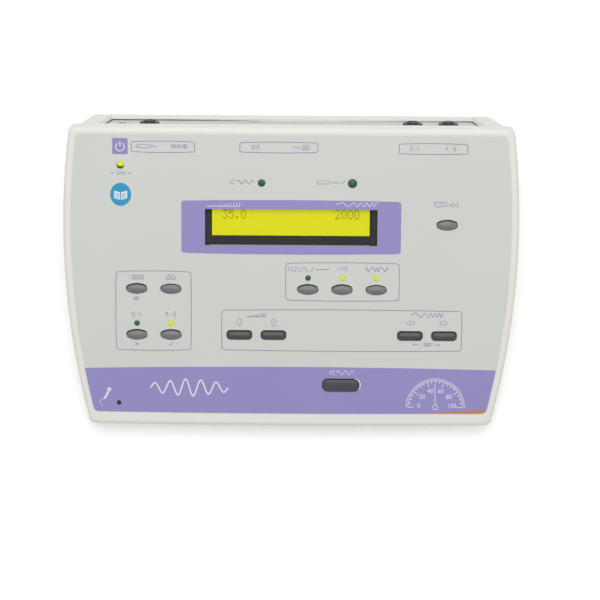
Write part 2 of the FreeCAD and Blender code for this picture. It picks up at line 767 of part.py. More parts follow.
def make_pocket():
    """Tapered pocket in the rear wall; its lower side is the sloping sill."""
    grow = 1.0 / pocket_depth
    top = -skirt_depth + 5.0
    inner_top = pocket_top_half - pocket_lean
    outer = pocket_wire(rear_v + 1.0, pocket_bottom_half, pocket_top_half + grow * pocket_lean,
                        sill_outer + grow * (sill_outer - sill_inner), top)
    inner = pocket_wire(panel_face, pocket_bottom_half, inner_top, sill_inner, top)
    pocket = Part.makeLoft([inner, outer], True, True)
    frame_back = rear_v - rear_frame_depth
    through = Part.Face(pocket_wire(frame_back - 1.0, pocket_bottom_half, inner_top, sill_inner, top))
    through = through.extrude(V(0, panel_face - frame_back + 1.5, 0))
    half = inner_top + panel_into_groove + slip
    groove = box((-half, half), (panel_back - slip, panel_face + slip),
                 (sill_inner - panel_into_groove - slip, top))
    gap = box((-pocket_bottom_half, pocket_bottom_half), (panel_face, panel_face + shadow_gap),
              (sill_inner - panel_into_groove, sill_inner + shadow_gap))
    return [pocket, through, groove, gap]


def bay_extent(extra):
    """Half length and half breadth of the battery bay, plus a margin."""
    column_length = cell_length + cell_nub_length + spring_length + 2 * contact_thick
    half_length = column_length + bay_partition / 2.0
    breadth = cell_rows * 2 * cell_radius + (cell_rows + 1) * cell_row_gap
    return half_length + extra, breadth / 2.0 + extra


main_front_y = front_y + main_front * cosine - main_top * sine
bay_y = main_front_y - bay_clearance - bay_extent(bay_wall)[1]
bay_top = floor_top + 2 * cell_radius + bay_headroom
bay_edge_y = bay_y - bay_extent(0)[1]


def make_base():
    deep = drop_to(0.0, rear_v) - 10.0
    inner_top = -skirt_depth + tongue_height + 1.0
    outer = base_block(0.0, deep, -skirt_depth)
    inner = base_block(base_wall, deep, inner_top)
    lip_inset = cover_wall + slip
    lip = upright_block(-skirt_depth - 1.0, -skirt_depth + tongue_height, (lip_inset,) * 3,
                        corner_rear, corner_front)
    hollow_lip = (lip_inset + tongue_wall,) * 3
    lip = lip.cut(upright_block(-skirt_depth - 2.0, inner_top, hollow_lip, corner_rear, corner_front))
    rear_slab = outer.common(box((-width, width), (rear_v - rear_frame_depth, rear_v + 1.0),
                                 (deep, -skirt_depth)))
    reach = 2.0 * width
    under = Part.makeBox(reach, reach, height, V(-width, -width, foot_height - height))
    floor_slab = Part.makeBox(reach, reach, floor_wall, V(-width, -width, foot_height))
    shell = joined(outer.cut(inner), lip, rear_slab)
    columns = []
    for u, v in CASE_SCREWS:
        columns.append(hidden_rod(boss_radius, u, v, deep, -skirt_depth))
    for u, v in main_posts:
        columns.append(hidden_rod(main_post_radius, u, v, deep, main_top - main_thick))
    shell = joined(shell, *columns)
    shell = placed(shell)
    floor_plate = placed(outer).common(floor_slab)
    half_x, half_y = bay_extent(bay_wall)
    bay = box((-half_x, half_x), (bay_y - half_y, bay_y + half_y), (foot_height, bay_top + bay_wall))
    shell = joined(shell, floor_plate, bay)
    cuts = [under]
    half_x, half_y = bay_extent(0)
    cuts.append(box((-half_x, -bay_partition / 2.0), (bay_y - half_y, bay_y + half_y),
                    (floor_top, bay_top)))
    cuts.append(box((bay_partition / 2.0, half_x), (bay_y - half_y, bay_y + half_y),
                    (floor_top, bay_top)))
    cuts.append(box((-half_x, half_x), (bay_y - half_y, bay_y + half_y), (foot_height - 1.0, floor_top)))
    for sign in (-1.0, 1.0):
        slot = box(about(sign * door_tongue_x, door_tongue_width + 2 * play),
                   (bay_edge_y - bay_wall - 1.0, bay_edge_y + 1.0),
                   (floor_top, floor_top + door_tongue_thick + door_tongue_room))
        cuts.append(slot)
    cuts.append(box(about(0, latch_width + 2 * play), (bay_y + half_y - 1.0, bay_y + half_y + latch_reach + play),
                    (foot_height - 1.0, foot_height + latch_thick + play)))
    scoop_y = bay_y + half_y + latch_reach
    scoop = Part.makeSphere(scoop_radius, V(0, scoop_y, foot_height + scoop_depth - scoop_radius))
    cuts.append(scoop)
    for x in (-foot_x, foot_x):
        for y in (foot_front_y, foot_rear_y):
            cuts.append(Part.makeCylinder(foot_radius + slip, foot_sunk + 1.0,
                                          V(x, y, foot_height - 1.0)))
    for u, v in CASE_SCREWS:
        cuts.append(placed(rod(head_radius + head_gap, u, v, deep - 1.0, -skirt_depth - boss_web)))
        cuts.append(placed(hidden_rod(shank_radius + slip, u, v, deep, -skirt_depth + 1.0)))
    for u, v in main_posts:
        pilot = hidden_rod(shank_radius, u, v, main_top - main_screw_length, main_top)
        cuts.append(placed(pilot))
    for cutter in make_pocket():
        cuts.append(placed(cutter))
    return shell.cut(cuts)


def make_feet():
    feet = []
    for x in (-foot_x, foot_x):
        for y in (foot_front_y, foot_rear_y):
            feet.append(Part.makeCylinder(foot_radius, foot_height + foot_sunk, V(x, y, 0)))
    return feet


# ================================================================ battery door, cells and contacts
def make_door():
    half_x, half_y = bay_extent(-play)
    top = foot_height + door_thick
    plate = box((-half_x, half_x), (bay_y - half_y, bay_y + half_y), (foot_height, top))
    extras = []
    for sign in (-1.0, 1.0):
        across = about(sign * door_tongue_x, door_tongue_width)
        upright = box(across, (bay_edge_y + play, bay_edge_y + play + door_tongue_root),
                      (top, floor_top + slip + door_tongue_thick))
        tongue = box(across, (bay_edge_y - door_tongue_reach, bay_edge_y + play + door_tongue_root),
                     (floor_top + slip, floor_top + slip + door_tongue_thick))
        extras += [upright, tongue]
    extras.append(box(about(0, latch_width), (bay_y + half_y - 1.0, bay_y + half_y + play + latch_reach),
                      (foot_height, foot_height + latch_thick)))
    door = joined(plate, *extras)
    grooves = []
    for index in range(door_grips):
        y = bay_y + half_y - door_grip_back - index * door_grip_pitch
        grooves.append(Part.makeCylinder(door_grip_radius, 2 * latch_width, V(-latch_width, y, foot_height),
                                         V(1, 0, 0)))
    return door.cut(grooves)


def cell_spots():
    """Start x, direction and y of each cell; rows alternate."""
    spots = []
    pitch = 2 * cell_radius + cell_row_gap
    for row in range(cell_rows):
        y = bay_y + (row - (cell_rows - 1) / 2.0) * pitch
        direction = 1.0 if row % 2 == 0 else -1.0
        for sign in (-1.0, 1.0):
            middle = sign * (bay_extent(0)[0] + bay_partition / 2.0) / 2.0
            spots.append((middle, direction, y))
    return spots


def lengthways(solid, direction, at):
    """The solid turned from upright to along X, then moved."""
    solid.rotate(V(0, 0, 0), V(0, 1, 0), 90.0 * direction)
    solid.translate(at)
    return solid


def make_cells_and_contacts():
    cells = []
    springs = []
    plates = []
    z = floor_top + cell_radius + play
    span = bay_extent(0)[0] - bay_partition / 2.0
    for middle, direction, y in cell_spots():
        start = middle - direction * span / 2.0
        at = start + direction * contact_thick
        plates.append(box(sorted((start, at)), about(y, contact_side), about(z, contact_side)))
        springs.append(lengthways(hidden_cone(*spring_radii, spring_length), direction, V(at, y, z)))
        at += direction * spring_length
        body = lengthways(Part.makeCylinder(cell_radius, cell_length), direction, V(at, y, z))
        at += direction * cell_length
        nub = hidden_rod(cell_nub_radius, 0, 0, 0, cell_nub_length)
        nub = lengthways(nub, direction, V(at, y, z))
        cells.append(joined(body, nub))
        at += direction * cell_nub_length
        plates.append(box(sorted((at, at + direction * contact_thick)), about(y, contact_side),
                          about(z, contact_side)))
    return cells, springs, plates


# ================================================================ all pieces
def main():
    os.makedirs("parts", exist_ok=True)
    write("top_cover", placed(make_cover()))
    write("front_overlay", placed(make_overlay()))
    write("base_shell", make_base())
    write("rear_panel", placed(make_rear_panel()))
    write("rubber_feet", *make_feet())

    names = ("display_window", "display_frame", "display_glass", "display_backlight", "display_board")
    for name, piece in zip(names, make_display()):
        write(name, placed(piece))

    key_shapes = {kind: make_key(kind) for kind in KEY_FORMS}
    switch_form = make_switch()
    switches = []
    for name, (kind, u, v) in KEYS.items():
        key = key_shapes[kind].copy()
        key.translate(V(u, v, 0))
        write(name, placed(key))
        switch = switch_form.copy()
        switch.translate(V(u, v, 0))
        switches.append(placed(switch))
    write("key_switches", *switches)
    for name, (radius, u, v) in LAMPS.items():
        write(name, placed(make_lamp(radius, u, v)))

    mic_u, mic_v = microphone_at
    write("microphone", placed(rod(microphone_radius, mic_u, mic_v, -face_wall - microphone_height,
                                   -face_wall)))
    write("keypad_board", placed(make_keypad_board()))
    write("main_board", placed(make_main_board()))
    cable, top_header, low_header = make_link()
    write("flat_cable", placed(cable))
    write("board_headers", placed(top_header), placed(low_header))
    write("board_chips", *[placed(chip) for chip in make_chips()])

    for name, u in jack_x.items():
        write(name, placed(make_jack(u)))
    write("jack_nuts", *[placed(make_nut(u)) for u in jack_x.values()])
    write("power_inlet", placed(make_inlet()))
    write("usb_socket", placed(make_usb()))
    write("printer_socket", placed(make_printer_socket()))
    switch_body, switch_knob = make_power_switch()
    write("power_switch", placed(switch_body))
    write("power_knob", placed(switch_knob))

    case = [screw(u, v, -skirt_depth - boss_web, screw_length, rod) for u, v in CASE_SCREWS]
    write("case_screws", *[placed(piece) for piece in case])
    inside = [screw(u, v, -board_drop - board_thick, board_screw_length, hidden_rod) for u, v in board_posts]
    inside += [screw(u, v, display_board_top - board_thick, board_screw_length, hidden_rod)
               for u, v in DISPLAY_SCREWS]
    inside += [screw(u, v, main_top, main_screw_length, hidden_rod, up=False) for u, v in main_posts]
    write("board_screws", *[placed(piece) for piece in inside])

    cells, springs, plates = make_cells_and_contacts()
    write("battery_cells", *cells)
    write("battery_springs", *springs)
    write("battery_contacts", *plates)
    write("battery_door", make_door())


main()
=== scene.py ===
import json
import math

import bpy
from mathutils import Matrix, Vector


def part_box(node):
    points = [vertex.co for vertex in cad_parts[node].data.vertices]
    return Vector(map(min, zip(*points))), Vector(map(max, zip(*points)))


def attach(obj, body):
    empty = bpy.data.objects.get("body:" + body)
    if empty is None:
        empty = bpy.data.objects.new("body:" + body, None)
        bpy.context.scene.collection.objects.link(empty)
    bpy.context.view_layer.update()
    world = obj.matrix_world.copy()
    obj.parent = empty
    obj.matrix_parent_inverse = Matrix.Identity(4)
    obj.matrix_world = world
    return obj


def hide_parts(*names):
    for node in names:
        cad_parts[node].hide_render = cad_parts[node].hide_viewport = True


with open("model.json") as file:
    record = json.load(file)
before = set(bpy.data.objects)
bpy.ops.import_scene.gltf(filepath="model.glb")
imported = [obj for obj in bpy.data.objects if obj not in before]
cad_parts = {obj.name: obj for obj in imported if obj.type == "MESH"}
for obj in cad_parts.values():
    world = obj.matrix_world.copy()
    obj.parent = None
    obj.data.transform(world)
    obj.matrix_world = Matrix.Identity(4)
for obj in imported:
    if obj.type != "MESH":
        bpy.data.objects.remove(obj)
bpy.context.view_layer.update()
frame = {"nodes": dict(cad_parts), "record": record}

# Screening audiometer: finishes, overlay print, display, keys, socket details and studio.
# Face frame: u to the right, v up the slope, w out of the face, in millimetres.
# Panel frame: -u to the right as seen from behind, w up, then out of the rear panel.

SLOPE = math.radians(12.0)
OVERLAY_REAR = 175.4      # v of the overlay's rear edge
OVERLAY_THICK = 0.45
INK = 0.03                # thickness of a print
CAPITALS = 0.72           # capital letters' share of the text size
PRINT_SHIFT = -0.25       # the printing sits a little to the left
GLASS_TOP = -3.9          # w of the display glass
PANEL_FACE = 176.1        # v of the rear panel's face
PANEL_FOOT = -51.0        # w where the panel meets the base
PANEL_END = 109.0         # u of the panel's ends at its foot
SOCKET_DROP = -26.0       # w of the sockets' axes
JACKS = (71.8, 93.2, -84.8)    # u of the left, right and response jacks

rear_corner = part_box("front_overlay")[1] * 1000.0
FRONT_Y = rear_corner.y - OVERLAY_REAR * math.cos(SLOPE) - OVERLAY_THICK * math.sin(SLOPE)
FRONT_Z = rear_corner.z - OVERLAY_REAR * math.sin(SLOPE)
TO_FACE = (Matrix.Diagonal((0.001, 0.001, 0.001, 1.0))
           @ Matrix.Translation((0.0, FRONT_Y, FRONT_Z))
           @ Matrix.Rotation(SLOPE, 4, "X"))
TO_PANEL = TO_FACE @ Matrix(((-1.0, 0.0, 0.0, 0.0), (0.0, 0.0, 1.0, PANEL_FACE),
                             (0.0, 1.0, 0.0, 0.0), (0.0, 0.0, 0.0, 1.0)))


# ---- handling pieces
def set_mode(mode):
    bpy.ops.object.mode_set(mode=mode)


def select(*pieces):
    """Object mode with only these pieces selected, the first one active."""
    if bpy.context.object and bpy.context.object.mode != "OBJECT":
        set_mode("OBJECT")
    bpy.ops.object.select_all(action="DESELECT")
    for piece in pieces:
        piece.select_set(True)
    if pieces:
        bpy.context.view_layer.objects.active = pieces[0]


def discard(*pieces):
    select(*pieces)
    bpy.ops.object.delete()


def new_object(name, data):
    piece = bpy.data.objects.new(name, data)
    bpy.context.scene.collection.objects.link(piece)
    return piece


def copy_of(form, name):
    """A copy of a piece, with a mesh of its own."""
    piece = new_object(name, form.data.copy())
    piece.data.name = name
    return piece


def as_mesh(piece):
    select(piece)
    bpy.ops.object.convert(target="MESH")
    return bpy.context.object


def join(pieces, name):
    select(*pieces)
    if len(pieces) > 1:
        bpy.ops.object.join()
    whole = bpy.context.object
    whole.name = name
    whole.data.name = name
    return whole


def dress(piece, material):
    piece.data.materials.clear()
    piece.data.materials.append(material)
    return piece


def raised(w):
    return Matrix.Translation((0.0, 0.0, w))


def settle(piece, material, place=TO_FACE, body="housing"):
    """Puts a piece, made in millimetres about the origin, in its place for good."""
    piece.data.transform(piece.matrix_world)
    piece.matrix_world = Matrix.Identity(4)
    piece.data.transform(place)
    dress(piece, material)
    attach(piece, body)
    return piece


def finish_print(piece, material, lift=0.0):
    """Lays a print, drawn flat in face millimetres, on the face."""
    return settle(piece, material, TO_FACE @ Matrix.Translation((PRINT_SHIFT, 0.0, lift)))


def thicken(piece, level, times):
    """Moves a flat patch to a level and makes it so many times thicker."""
    piece.data.transform(raised(level) @ Matrix.Diagonal((1.0, 1.0, times, 1.0)))
    return piece


# ---- material nodes
def linear(red, green, blue):
    """Linear colour from 0..255 display values."""
    def one(value):
        value = value / 255.0
        return value / 12.92 if value <= 0.04045 else ((value + 0.055) / 1.055) ** 2.4
    return (one(red), one(green), one(blue), 1.0)


def shade(colour, amount):
    return tuple(min(1.0, channel * amount) for channel in colour[:3]) + (1.0,)


def start_material(name):
    material = bpy.data.materials.new(name)
    material.use_nodes = True
    tree = material.node_tree
    return material, tree, tree.nodes["Principled BSDF"]


def add(tree, kind, **values):
    node = tree.nodes.new(kind)
    for key, value in values.items():
        setattr(node, key, value)
    return node


def fill(tree, sockets, values):
    """Sets each socket to its number or colour, or links it to its output."""
    for socket, value in zip(sockets, values):
        if isinstance(value, (tuple, float)):
            socket.default_value = value
        else:
            tree.links.new(value, socket)


def object_place(tree, scale=(1.0, 1.0, 1.0), turn=(0.0, 0.0, 0.0), move=(0.0, 0.0, 0.0), kind="POINT"):
    source = add(tree, "ShaderNodeTexCoord")
    mapping = add(tree, "ShaderNodeMapping", vector_type=kind)
    fill(tree, [mapping.inputs[key] for key in ("Vector", "Location", "Rotation", "Scale")],
         (source.outputs["Object"], move, turn, scale))
    return mapping.outputs["Vector"]


def face_place(tree):
    """u, v and w in millimetres, for patterns laid out on the face."""
    vector = object_place(tree, kind="TEXTURE", turn=(SLOPE, 0.0, 0.0), scale=(0.001, 0.001, 0.001),
                          move=(0.0, FRONT_Y / 1000.0, FRONT_Z / 1000.0))
    split = add(tree, "ShaderNodeSeparateXYZ")
    tree.links.new(vector, split.inputs[0])
    return split.outputs


def noise(tree, vector, scale, detail=2.0):
    node = add(tree, "ShaderNodeTexNoise")
    fill(tree, [node.inputs[key] for key in ("Vector", "Scale", "Detail", "Roughness")],
         (vector, scale, detail, 0.5))
    return node.outputs["Fac"]


def between(tree, value, low, high, to_low, to_high):
    """Maps low..high to to_low..to_high, held at the ends."""
    node = add(tree, "ShaderNodeMapRange", clamp=True)
    fill(tree, [node.inputs[key] for key in ("Value", "From Min", "From Max", "To Min", "To Max")],
         (value, low, high, to_low, to_high))
    return node.outputs["Result"]


def blend(tree, factor, first, second):
    node = add(tree, "ShaderNodeMix", data_type="RGBA")
    fill(tree, [node.inputs[place] for place in (0, 6, 7)], (factor, first, second))
    return node.outputs[2]


def maths(tree, operation, *values):
    node = add(tree, "ShaderNodeMath", operation=operation)
    fill(tree, node.inputs, values)
    return node.outputs[0]


def paint(tree, shader, tone, gloss=0.5):
    """Base colour, and how strongly the surface mirrors."""
    tree.links.new(tone, shader.inputs["Base Color"])
    shader.inputs["Specular IOR Level"].default_value = gloss


def polish(tree, shader, grain, low, high):
    """Roughness between two values, after a grain."""
    tree.links.new(between(tree, grain, 0.3, 0.7, low, high), shader.inputs["Roughness"])


def glow(tree, shader, tone, strength):
    tree.links.new(tone, shader.inputs["Emission Color"])
    shader.inputs["Emission Strength"].default_value = strength


def raise_surface(tree, shader, height, depth):
    node = add(tree, "ShaderNodeBump")
    fill(tree, [node.inputs[key] for key in ("Height", "Strength", "Distance")], (height, 1.0, depth))
    tree.links.new(node.outputs["Normal"], shader.inputs["Normal"])


# ---- materials
def moulded(name, colour, roughness, grain, depth, spread, gloss):
    """Moulded plastic: fine grain, faint mottling and uneven polish."""
    material, tree, shader = start_material(name)
    vector = object_place(tree)
    fine = noise(tree, vector, 1000.0 / grain)
    broad = noise(tree, vector, 22.0, 3.0)
    mottled = blend(tree, broad, shade(colour, 1.0 - spread), shade(colour, 1.0 + spread))
    paint(tree, shader, mottled, gloss)
    polish(tree, shader, fine, roughness - 0.05, roughness + 0.06)
    raise_surface(tree, shader, fine, depth)
    return material


def metal(name, colour, roughness):
    """Metal with fine drawn lines."""
    material, tree, shader = start_material(name)
    lines = noise(tree, object_place(tree, scale=(900.0, 900.0, 60.0)), 1.0, 3.0)
    paint(tree, shader, blend(tree, lines, shade(colour, 0.88), shade(colour, 1.08)))
    polish(tree, shader, lines, roughness - 0.06, roughness + 0.08)
    shader.inputs["Metallic"].default_value = 1.0
    raise_surface(tree, shader, lines, 2e-6)
    return material


def ink(name, colour):
    """Screen-printed ink, slightly uneven."""
    material, tree, shader = start_material(name)
    grain = noise(tree, object_place(tree), 2600.0, 1.0)
    paint(tree, shader, blend(tree, grain, shade(colour, 0.95), shade(colour, 1.05)), 0.1)
    polish(tree, shader, grain, 0.44, 0.56)
    return material


def lit_lamp():
    """Lit yellow lens; the rear lamp's lens has painted shade, dark green, along its lower edge."""
    lamp_u, shade_edge_v, bow, rear_row = -100.6, 156.5, 0.14, 150.0
    material, tree, shader = start_material("lamp_yellow")
    across, along, _ = face_place(tree)
    aside = maths(tree, "POWER", maths(tree, "ADD", across, -lamp_u), 2.0)
    bowed = maths(tree, "MULTIPLY_ADD", aside, -bow, along)
    # Painted shade: dark green along the lower edge of the rear lamp's lens.
    lower = between(tree, bowed, shade_edge_v, shade_edge_v + 0.4, 1.0, 0.0)
    rear = between(tree, along, rear_row, rear_row + 0.1, 0.0, 1.0)
    painted_shade_mask = maths(tree, "MULTIPLY", lower, rear)
    cloud = noise(tree, object_place(tree), 260.0)
    yellow = blend(tree, cloud, linear(204, 204, 2), linear(214, 214, 6))
    tone = blend(tree, painted_shade_mask, yellow, linear(48, 88, 52))
    paint(tree, shader, tone, 0.15)
    glow(tree, shader, tone, 0.25)
    shader.inputs["Roughness"].default_value = 0.3
    return material


VIOLET = linear(148, 141, 194)
FILM = linear(208, 210, 205)


def violet_band(tree, across, along):
    """1 in front of the band's rear edge, which bows towards the front at both ends."""
    middle, bow, reach, blur = 35.7, 1.3, 120.0, 0.06
    aside = maths(tree, "POWER", maths(tree, "MULTIPLY", across, 1.0 / reach), 2.0)
    edge = maths(tree, "MULTIPLY_ADD", aside, -bow, middle)
    return between(tree, maths(tree, "SUBTRACT", edge, along), -blur, blur, 0.0, 1.0)


def violet_surround(tree, across, along):
    """1 inside a rounded rectangle with bowed long edges, round the display."""
    middle, half_wide, half_high, corner, bow, blur = 120.4, 65.0, 15.7, 1.8, 0.7, 0.06
    aside = maths(tree, "POWER", maths(tree, "MULTIPLY", across, 1.0 / half_wide), 2.0)
    high = maths(tree, "MULTIPLY_ADD", aside, -bow, half_high + bow - corner)
    from_middle = maths(tree, "ABSOLUTE", maths(tree, "SUBTRACT", along, middle))
    rise = maths(tree, "MAXIMUM", maths(tree, "SUBTRACT", from_middle, high), 0.0)
    from_side = maths(tree, "SUBTRACT", maths(tree, "ABSOLUTE", across), half_wide - corner)
    run = maths(tree, "MAXIMUM", from_side, 0.0)
    squares = maths(tree, "ADD", maths(tree, "POWER", rise, 2.0), maths(tree, "POWER", run, 2.0))
    return between(tree, maths(tree, "SQRT", squares), corner - blur, corner + blur, 1.0, 0.0)


def overlay_film():
    """Printed film: grey-green, with a violet band in front and a violet field round the display."""
    material, tree, shader = start_material("overlay_film")
    across, along, _ = face_place(tree)
    band = violet_band(tree, across, along)
    violet = maths(tree, "MAXIMUM", band, violet_surround(tree, across, along))
    plain = object_place(tree)
    fine = noise(tree, plain, 3200.0)
    broad = noise(tree, plain, 16.0, 3.0)
    ground = blend(tree, broad, shade(FILM, 0.975), shade(FILM, 1.02))
    printed = blend(tree, broad, shade(VIOLET, 0.97), shade(VIOLET, 1.03))
    paint(tree, shader, blend(tree, violet, ground, printed), 0.25)
    polish(tree, shader, fine, 0.42, 0.52)
    raise_surface(tree, shader, fine, 4e-6)
    return material


def display_glass():
    """Lit display glass: faintly clouded yellow inside its dark border."""
    middle_u, half_lit, lit_foot, blur = -0.25, 46.6, 114.7, 0.1
    material, tree, shader = start_material("display_glass")
    across, along, _ = face_place(tree)
    aside = maths(tree, "ABSOLUTE", maths(tree, "ADD", across, -middle_u))
    beside = between(tree, aside, half_lit, half_lit + blur, 0.0, 1.0)
    below = between(tree, along, lit_foot, lit_foot + blur, 1.0, 0.0)
    border = maths(tree, "MAXIMUM", beside, below)
    cloud = noise(tree, object_place(tree), 40.0)
    lit = blend(tree, cloud, linear(187, 185, 24), linear(192, 190, 28))
    paint(tree, shader, blend(tree, border, lit, linear(56, 55, 55)), 0.04)
    glow(tree, shader, blend(tree, border, lit, (0.0, 0.0, 0.0, 1.0)), 0.56)
    shader.inputs["Roughness"].default_value = 0.3
    return material


def key_plastic(name, crown, painted_shade_wall):
    """Key plastic: satin crown over a wall darkened with painted shade."""
    material, tree, shader = start_material(name)
    # Painted shade: the key's wall, below its rim, is darker than its crown.
    height = between(tree, face_place(tree)[2], 0.15, 0.6, 0.0, 1.0)
    plain = object_place(tree)
    fine = noise(tree, plain, 2800.0)
    broad = noise(tree, plain, 90.0)
    worn = blend(tree, broad, shade(crown, 0.95), shade(crown, 1.05))
    paint(tree, shader, blend(tree, height, painted_shade_wall, worn), 0.4)
    polish(tree, shader, fine, 0.36, 0.46)
    raise_surface(tree, shader, fine, 5e-6)
    return material


def clear_window():
    """Thin clear sheet with a faint sheen."""
    material, tree, shader = start_material("window_clear")
    polish(tree, shader, noise(tree, object_place(tree), 60.0), 0.06, 0.14)
    shader.inputs["Base Color"].default_value = (0.1, 0.11, 0.11, 1.0)
    shader.inputs["Alpha"].default_value = 0.02
    return material


def circuit_board():
    """Green board with faint copper tracks."""
    material, tree, shader = start_material("circuit_board")
    cells = add(tree, "ShaderNodeTexVoronoi", feature="DISTANCE_TO_EDGE")
    fill(tree, [cells.inputs["Vector"], cells.inputs["Scale"]], (object_place(tree), 260.0))
    tracks = between(tree, cells.outputs["Distance"], 0.03, 0.07, 1.0, 0.0)
    paint(tree, shader, blend(tree, tracks, linear(28, 84, 52), linear(52, 118, 72)))
    shader.inputs["Roughness"].default_value = 0.4
    raise_surface(tree, shader, tracks, 2e-5)
    return material


def cell_wrap():
    """Printed sleeve with plain coloured bands."""
    material, tree, shader = start_material("cell_wrap")
    rings = add(tree, "ShaderNodeTexWave", wave_type="BANDS", bands_direction="X")
    fill(tree, [rings.inputs[key] for key in ("Vector", "Scale", "Distortion")],
         (object_place(tree), 9.0, 0.0))
    band = between(tree, rings.outputs["Fac"], 0.49, 0.51, 0.0, 1.0)
    paint(tree, shader, blend(tree, band, linear(60, 66, 72), linear(176, 140, 70)))
    shader.inputs["Roughness"].default_value = 0.32
    shader.inputs["Metallic"].default_value = 0.35
    return material


# name: colour, roughness, grain in millimetres, its depth in metres, mottling, gloss
MOULDED = {
    "cover_plastic": ((229, 228, 223), 0.42, 0.5, 5e-6, 0.012, 0.3),
    "base_plastic": ((229, 229, 224), 0.5, 0.6, 8e-6, 0.015, 0.3),
    "panel_plastic": ((203, 204, 200), 0.5, 0.6, 7e-6, 0.015, 0.3),
    "foot_rubber": ((70, 70, 70), 0.75, 0.4, 2e-5, 0.06, 0.3),
    "display_metal": ((58, 57, 58), 0.5, 0.7, 4e-6, 0.05, 0.05),
    "backlight_white": ((230, 230, 225), 0.5, 0.8, 4e-6, 0.04, 0.5),
    "chip_black": ((36, 36, 38), 0.5, 0.3, 5e-6, 0.06, 0.5),
    "header_black": ((30, 30, 32), 0.45, 0.4, 5e-6, 0.06, 0.5),
    "cable_grey": ((176, 178, 182), 0.5, 0.5, 6e-6, 0.04, 0.5),
    "switch_black": ((40, 40, 42), 0.42, 0.4, 5e-6, 0.05, 0.5),
    "microphone_metal": ((24, 24, 25), 0.7, 0.3, 2e-5, 0.1, 0.2),
    "socket_black": ((44, 44, 46), 0.42, 0.4, 5e-6, 0.05, 0.5),
    "nut_black": ((33, 33, 35), 0.4, 0.4, 5e-6, 0.06, 0.4),
    "knob_grey": ((140, 140, 144), 0.45, 0.4, 8e-6, 0.04, 0.5),
    "lamp_green": ((34, 84, 60), 0.3, 0.8, 3e-6, 0.08, 0.3),
}
# name: linear colour, roughness
METALS = {
    "socket_metal": ((0.66, 0.66, 0.64, 1.0), 0.28),
    "screw_steel": ((0.55, 0.55, 0.56, 1.0), 0.3),
    "spring_steel": ((0.7, 0.7, 0.72, 1.0), 0.25),
}
FINISHES = {name: moulded(name, linear(*colour), *rest) for name, (colour, *rest) in MOULDED.items()}
FINISHES.update({name: metal(name, *look) for name, look in METALS.items()})
FINISHES.update({
    "overlay_film": overlay_film(), "window_clear": clear_window(), "display_yellow": display_glass(),
    "board_green": circuit_board(), "cell_wrap": cell_wrap(), "lamp_yellow": lit_lamp(),
    # Each key's second colour is painted shade on its wall.
    "key_grey": key_plastic("key_grey", linear(112, 112, 115), linear(56, 56, 58)),
    "key_dark": key_plastic("key_dark", linear(60, 59, 64), linear(36, 36, 40)),
})
INK_GREY = ink("ink_grey", linear(148, 142, 184))
INK_WHITE = ink("ink_white", linear(226, 224, 238))
INK_VIOLET = ink("ink_violet", VIOLET)
# Painted highlight, for the pale slivers at the keys' holes.
HIGHLIGHT_INK = ink("painted_highlight_ink", linear(240, 239, 240))
INK_BLUE = ink("ink_blue", linear(60, 152, 196))
INK_ORANGE = ink("ink_orange", linear(197, 132, 88))
DOT_DARK = ink("display_dots", linear(166, 163, 16))

for part in frame["record"]["subparts"]:
    dress(frame["nodes"][part["node"]], FINISHES[part["material_slot"]])


# ---- drawing
def line_curve(name, paths, dimensions, closed):
    curve = bpy.data.curves.new(name, "CURVE")
    curve.dimensions = dimensions
    for points in paths:
        spline = curve.splines.new("POLY")
        spline.points.add(len(points) - 1)
        for spot, (u, v) in zip(spline.points, points):
            spot.co = (u, v, 0.0, 1.0)
        spline.use_cyclic_u = closed
    return curve


def stroke(name, paths, breadth, closed=False):
    """Printed line: a bead along each path, pressed flat."""
    curve = line_curve(name, paths, "3D", closed)
    curve.bevel_depth = breadth / 2.0
    curve.bevel_resolution = 1
    curve.use_fill_caps = True
    piece = as_mesh(new_object(name, curve))
    piece.data.transform(Matrix.Diagonal((1.0, 1.0, 2.0 * INK / breadth, 1.0)))
    return piece


def patch(name, *outlines):
    """Printed area; outlines after the first are holes."""
    curve = line_curve(name, outlines, "2D", True)
    curve.fill_mode = "BOTH"
    curve.extrude = INK / 2.0
    return as_mesh(new_object(name, curve))


def word(text, u, v, height):
    """Printed characters of a given height, centred on u and v."""
    bpy.ops.object.text_add()
    letters = bpy.context.object.data
    letters.body = text
    letters.align_x = letters.align_y = "CENTER"
    letters.size = height / CAPITALS
    letters.extrude = INK / 2.0
    letters.resolution_u = 3
    piece = as_mesh(bpy.context.object)
    piece.data.transform(Matrix.Translation((u, v, 0.0)))
    return piece


def arc(u, v, radius, start, end, steps):
    points = []
    for step in range(steps + 1):
        angle = math.radians(start + (end - start) * step / steps)
        points.append((u + radius * math.cos(angle), v + radius * math.sin(angle)))
    return points


def disc(u, v, radius, steps=40):
    return arc(u, v, radius, 0.0, 360.0 - 360.0 / steps, steps - 1)


def straight(start, end, steps):
    """Points between two ends, without them."""
    run, rise = end[0] - start[0], end[1] - start[1]
    return [(start[0] + run * step / steps, start[1] + rise * step / steps) for step in range(1, steps)]


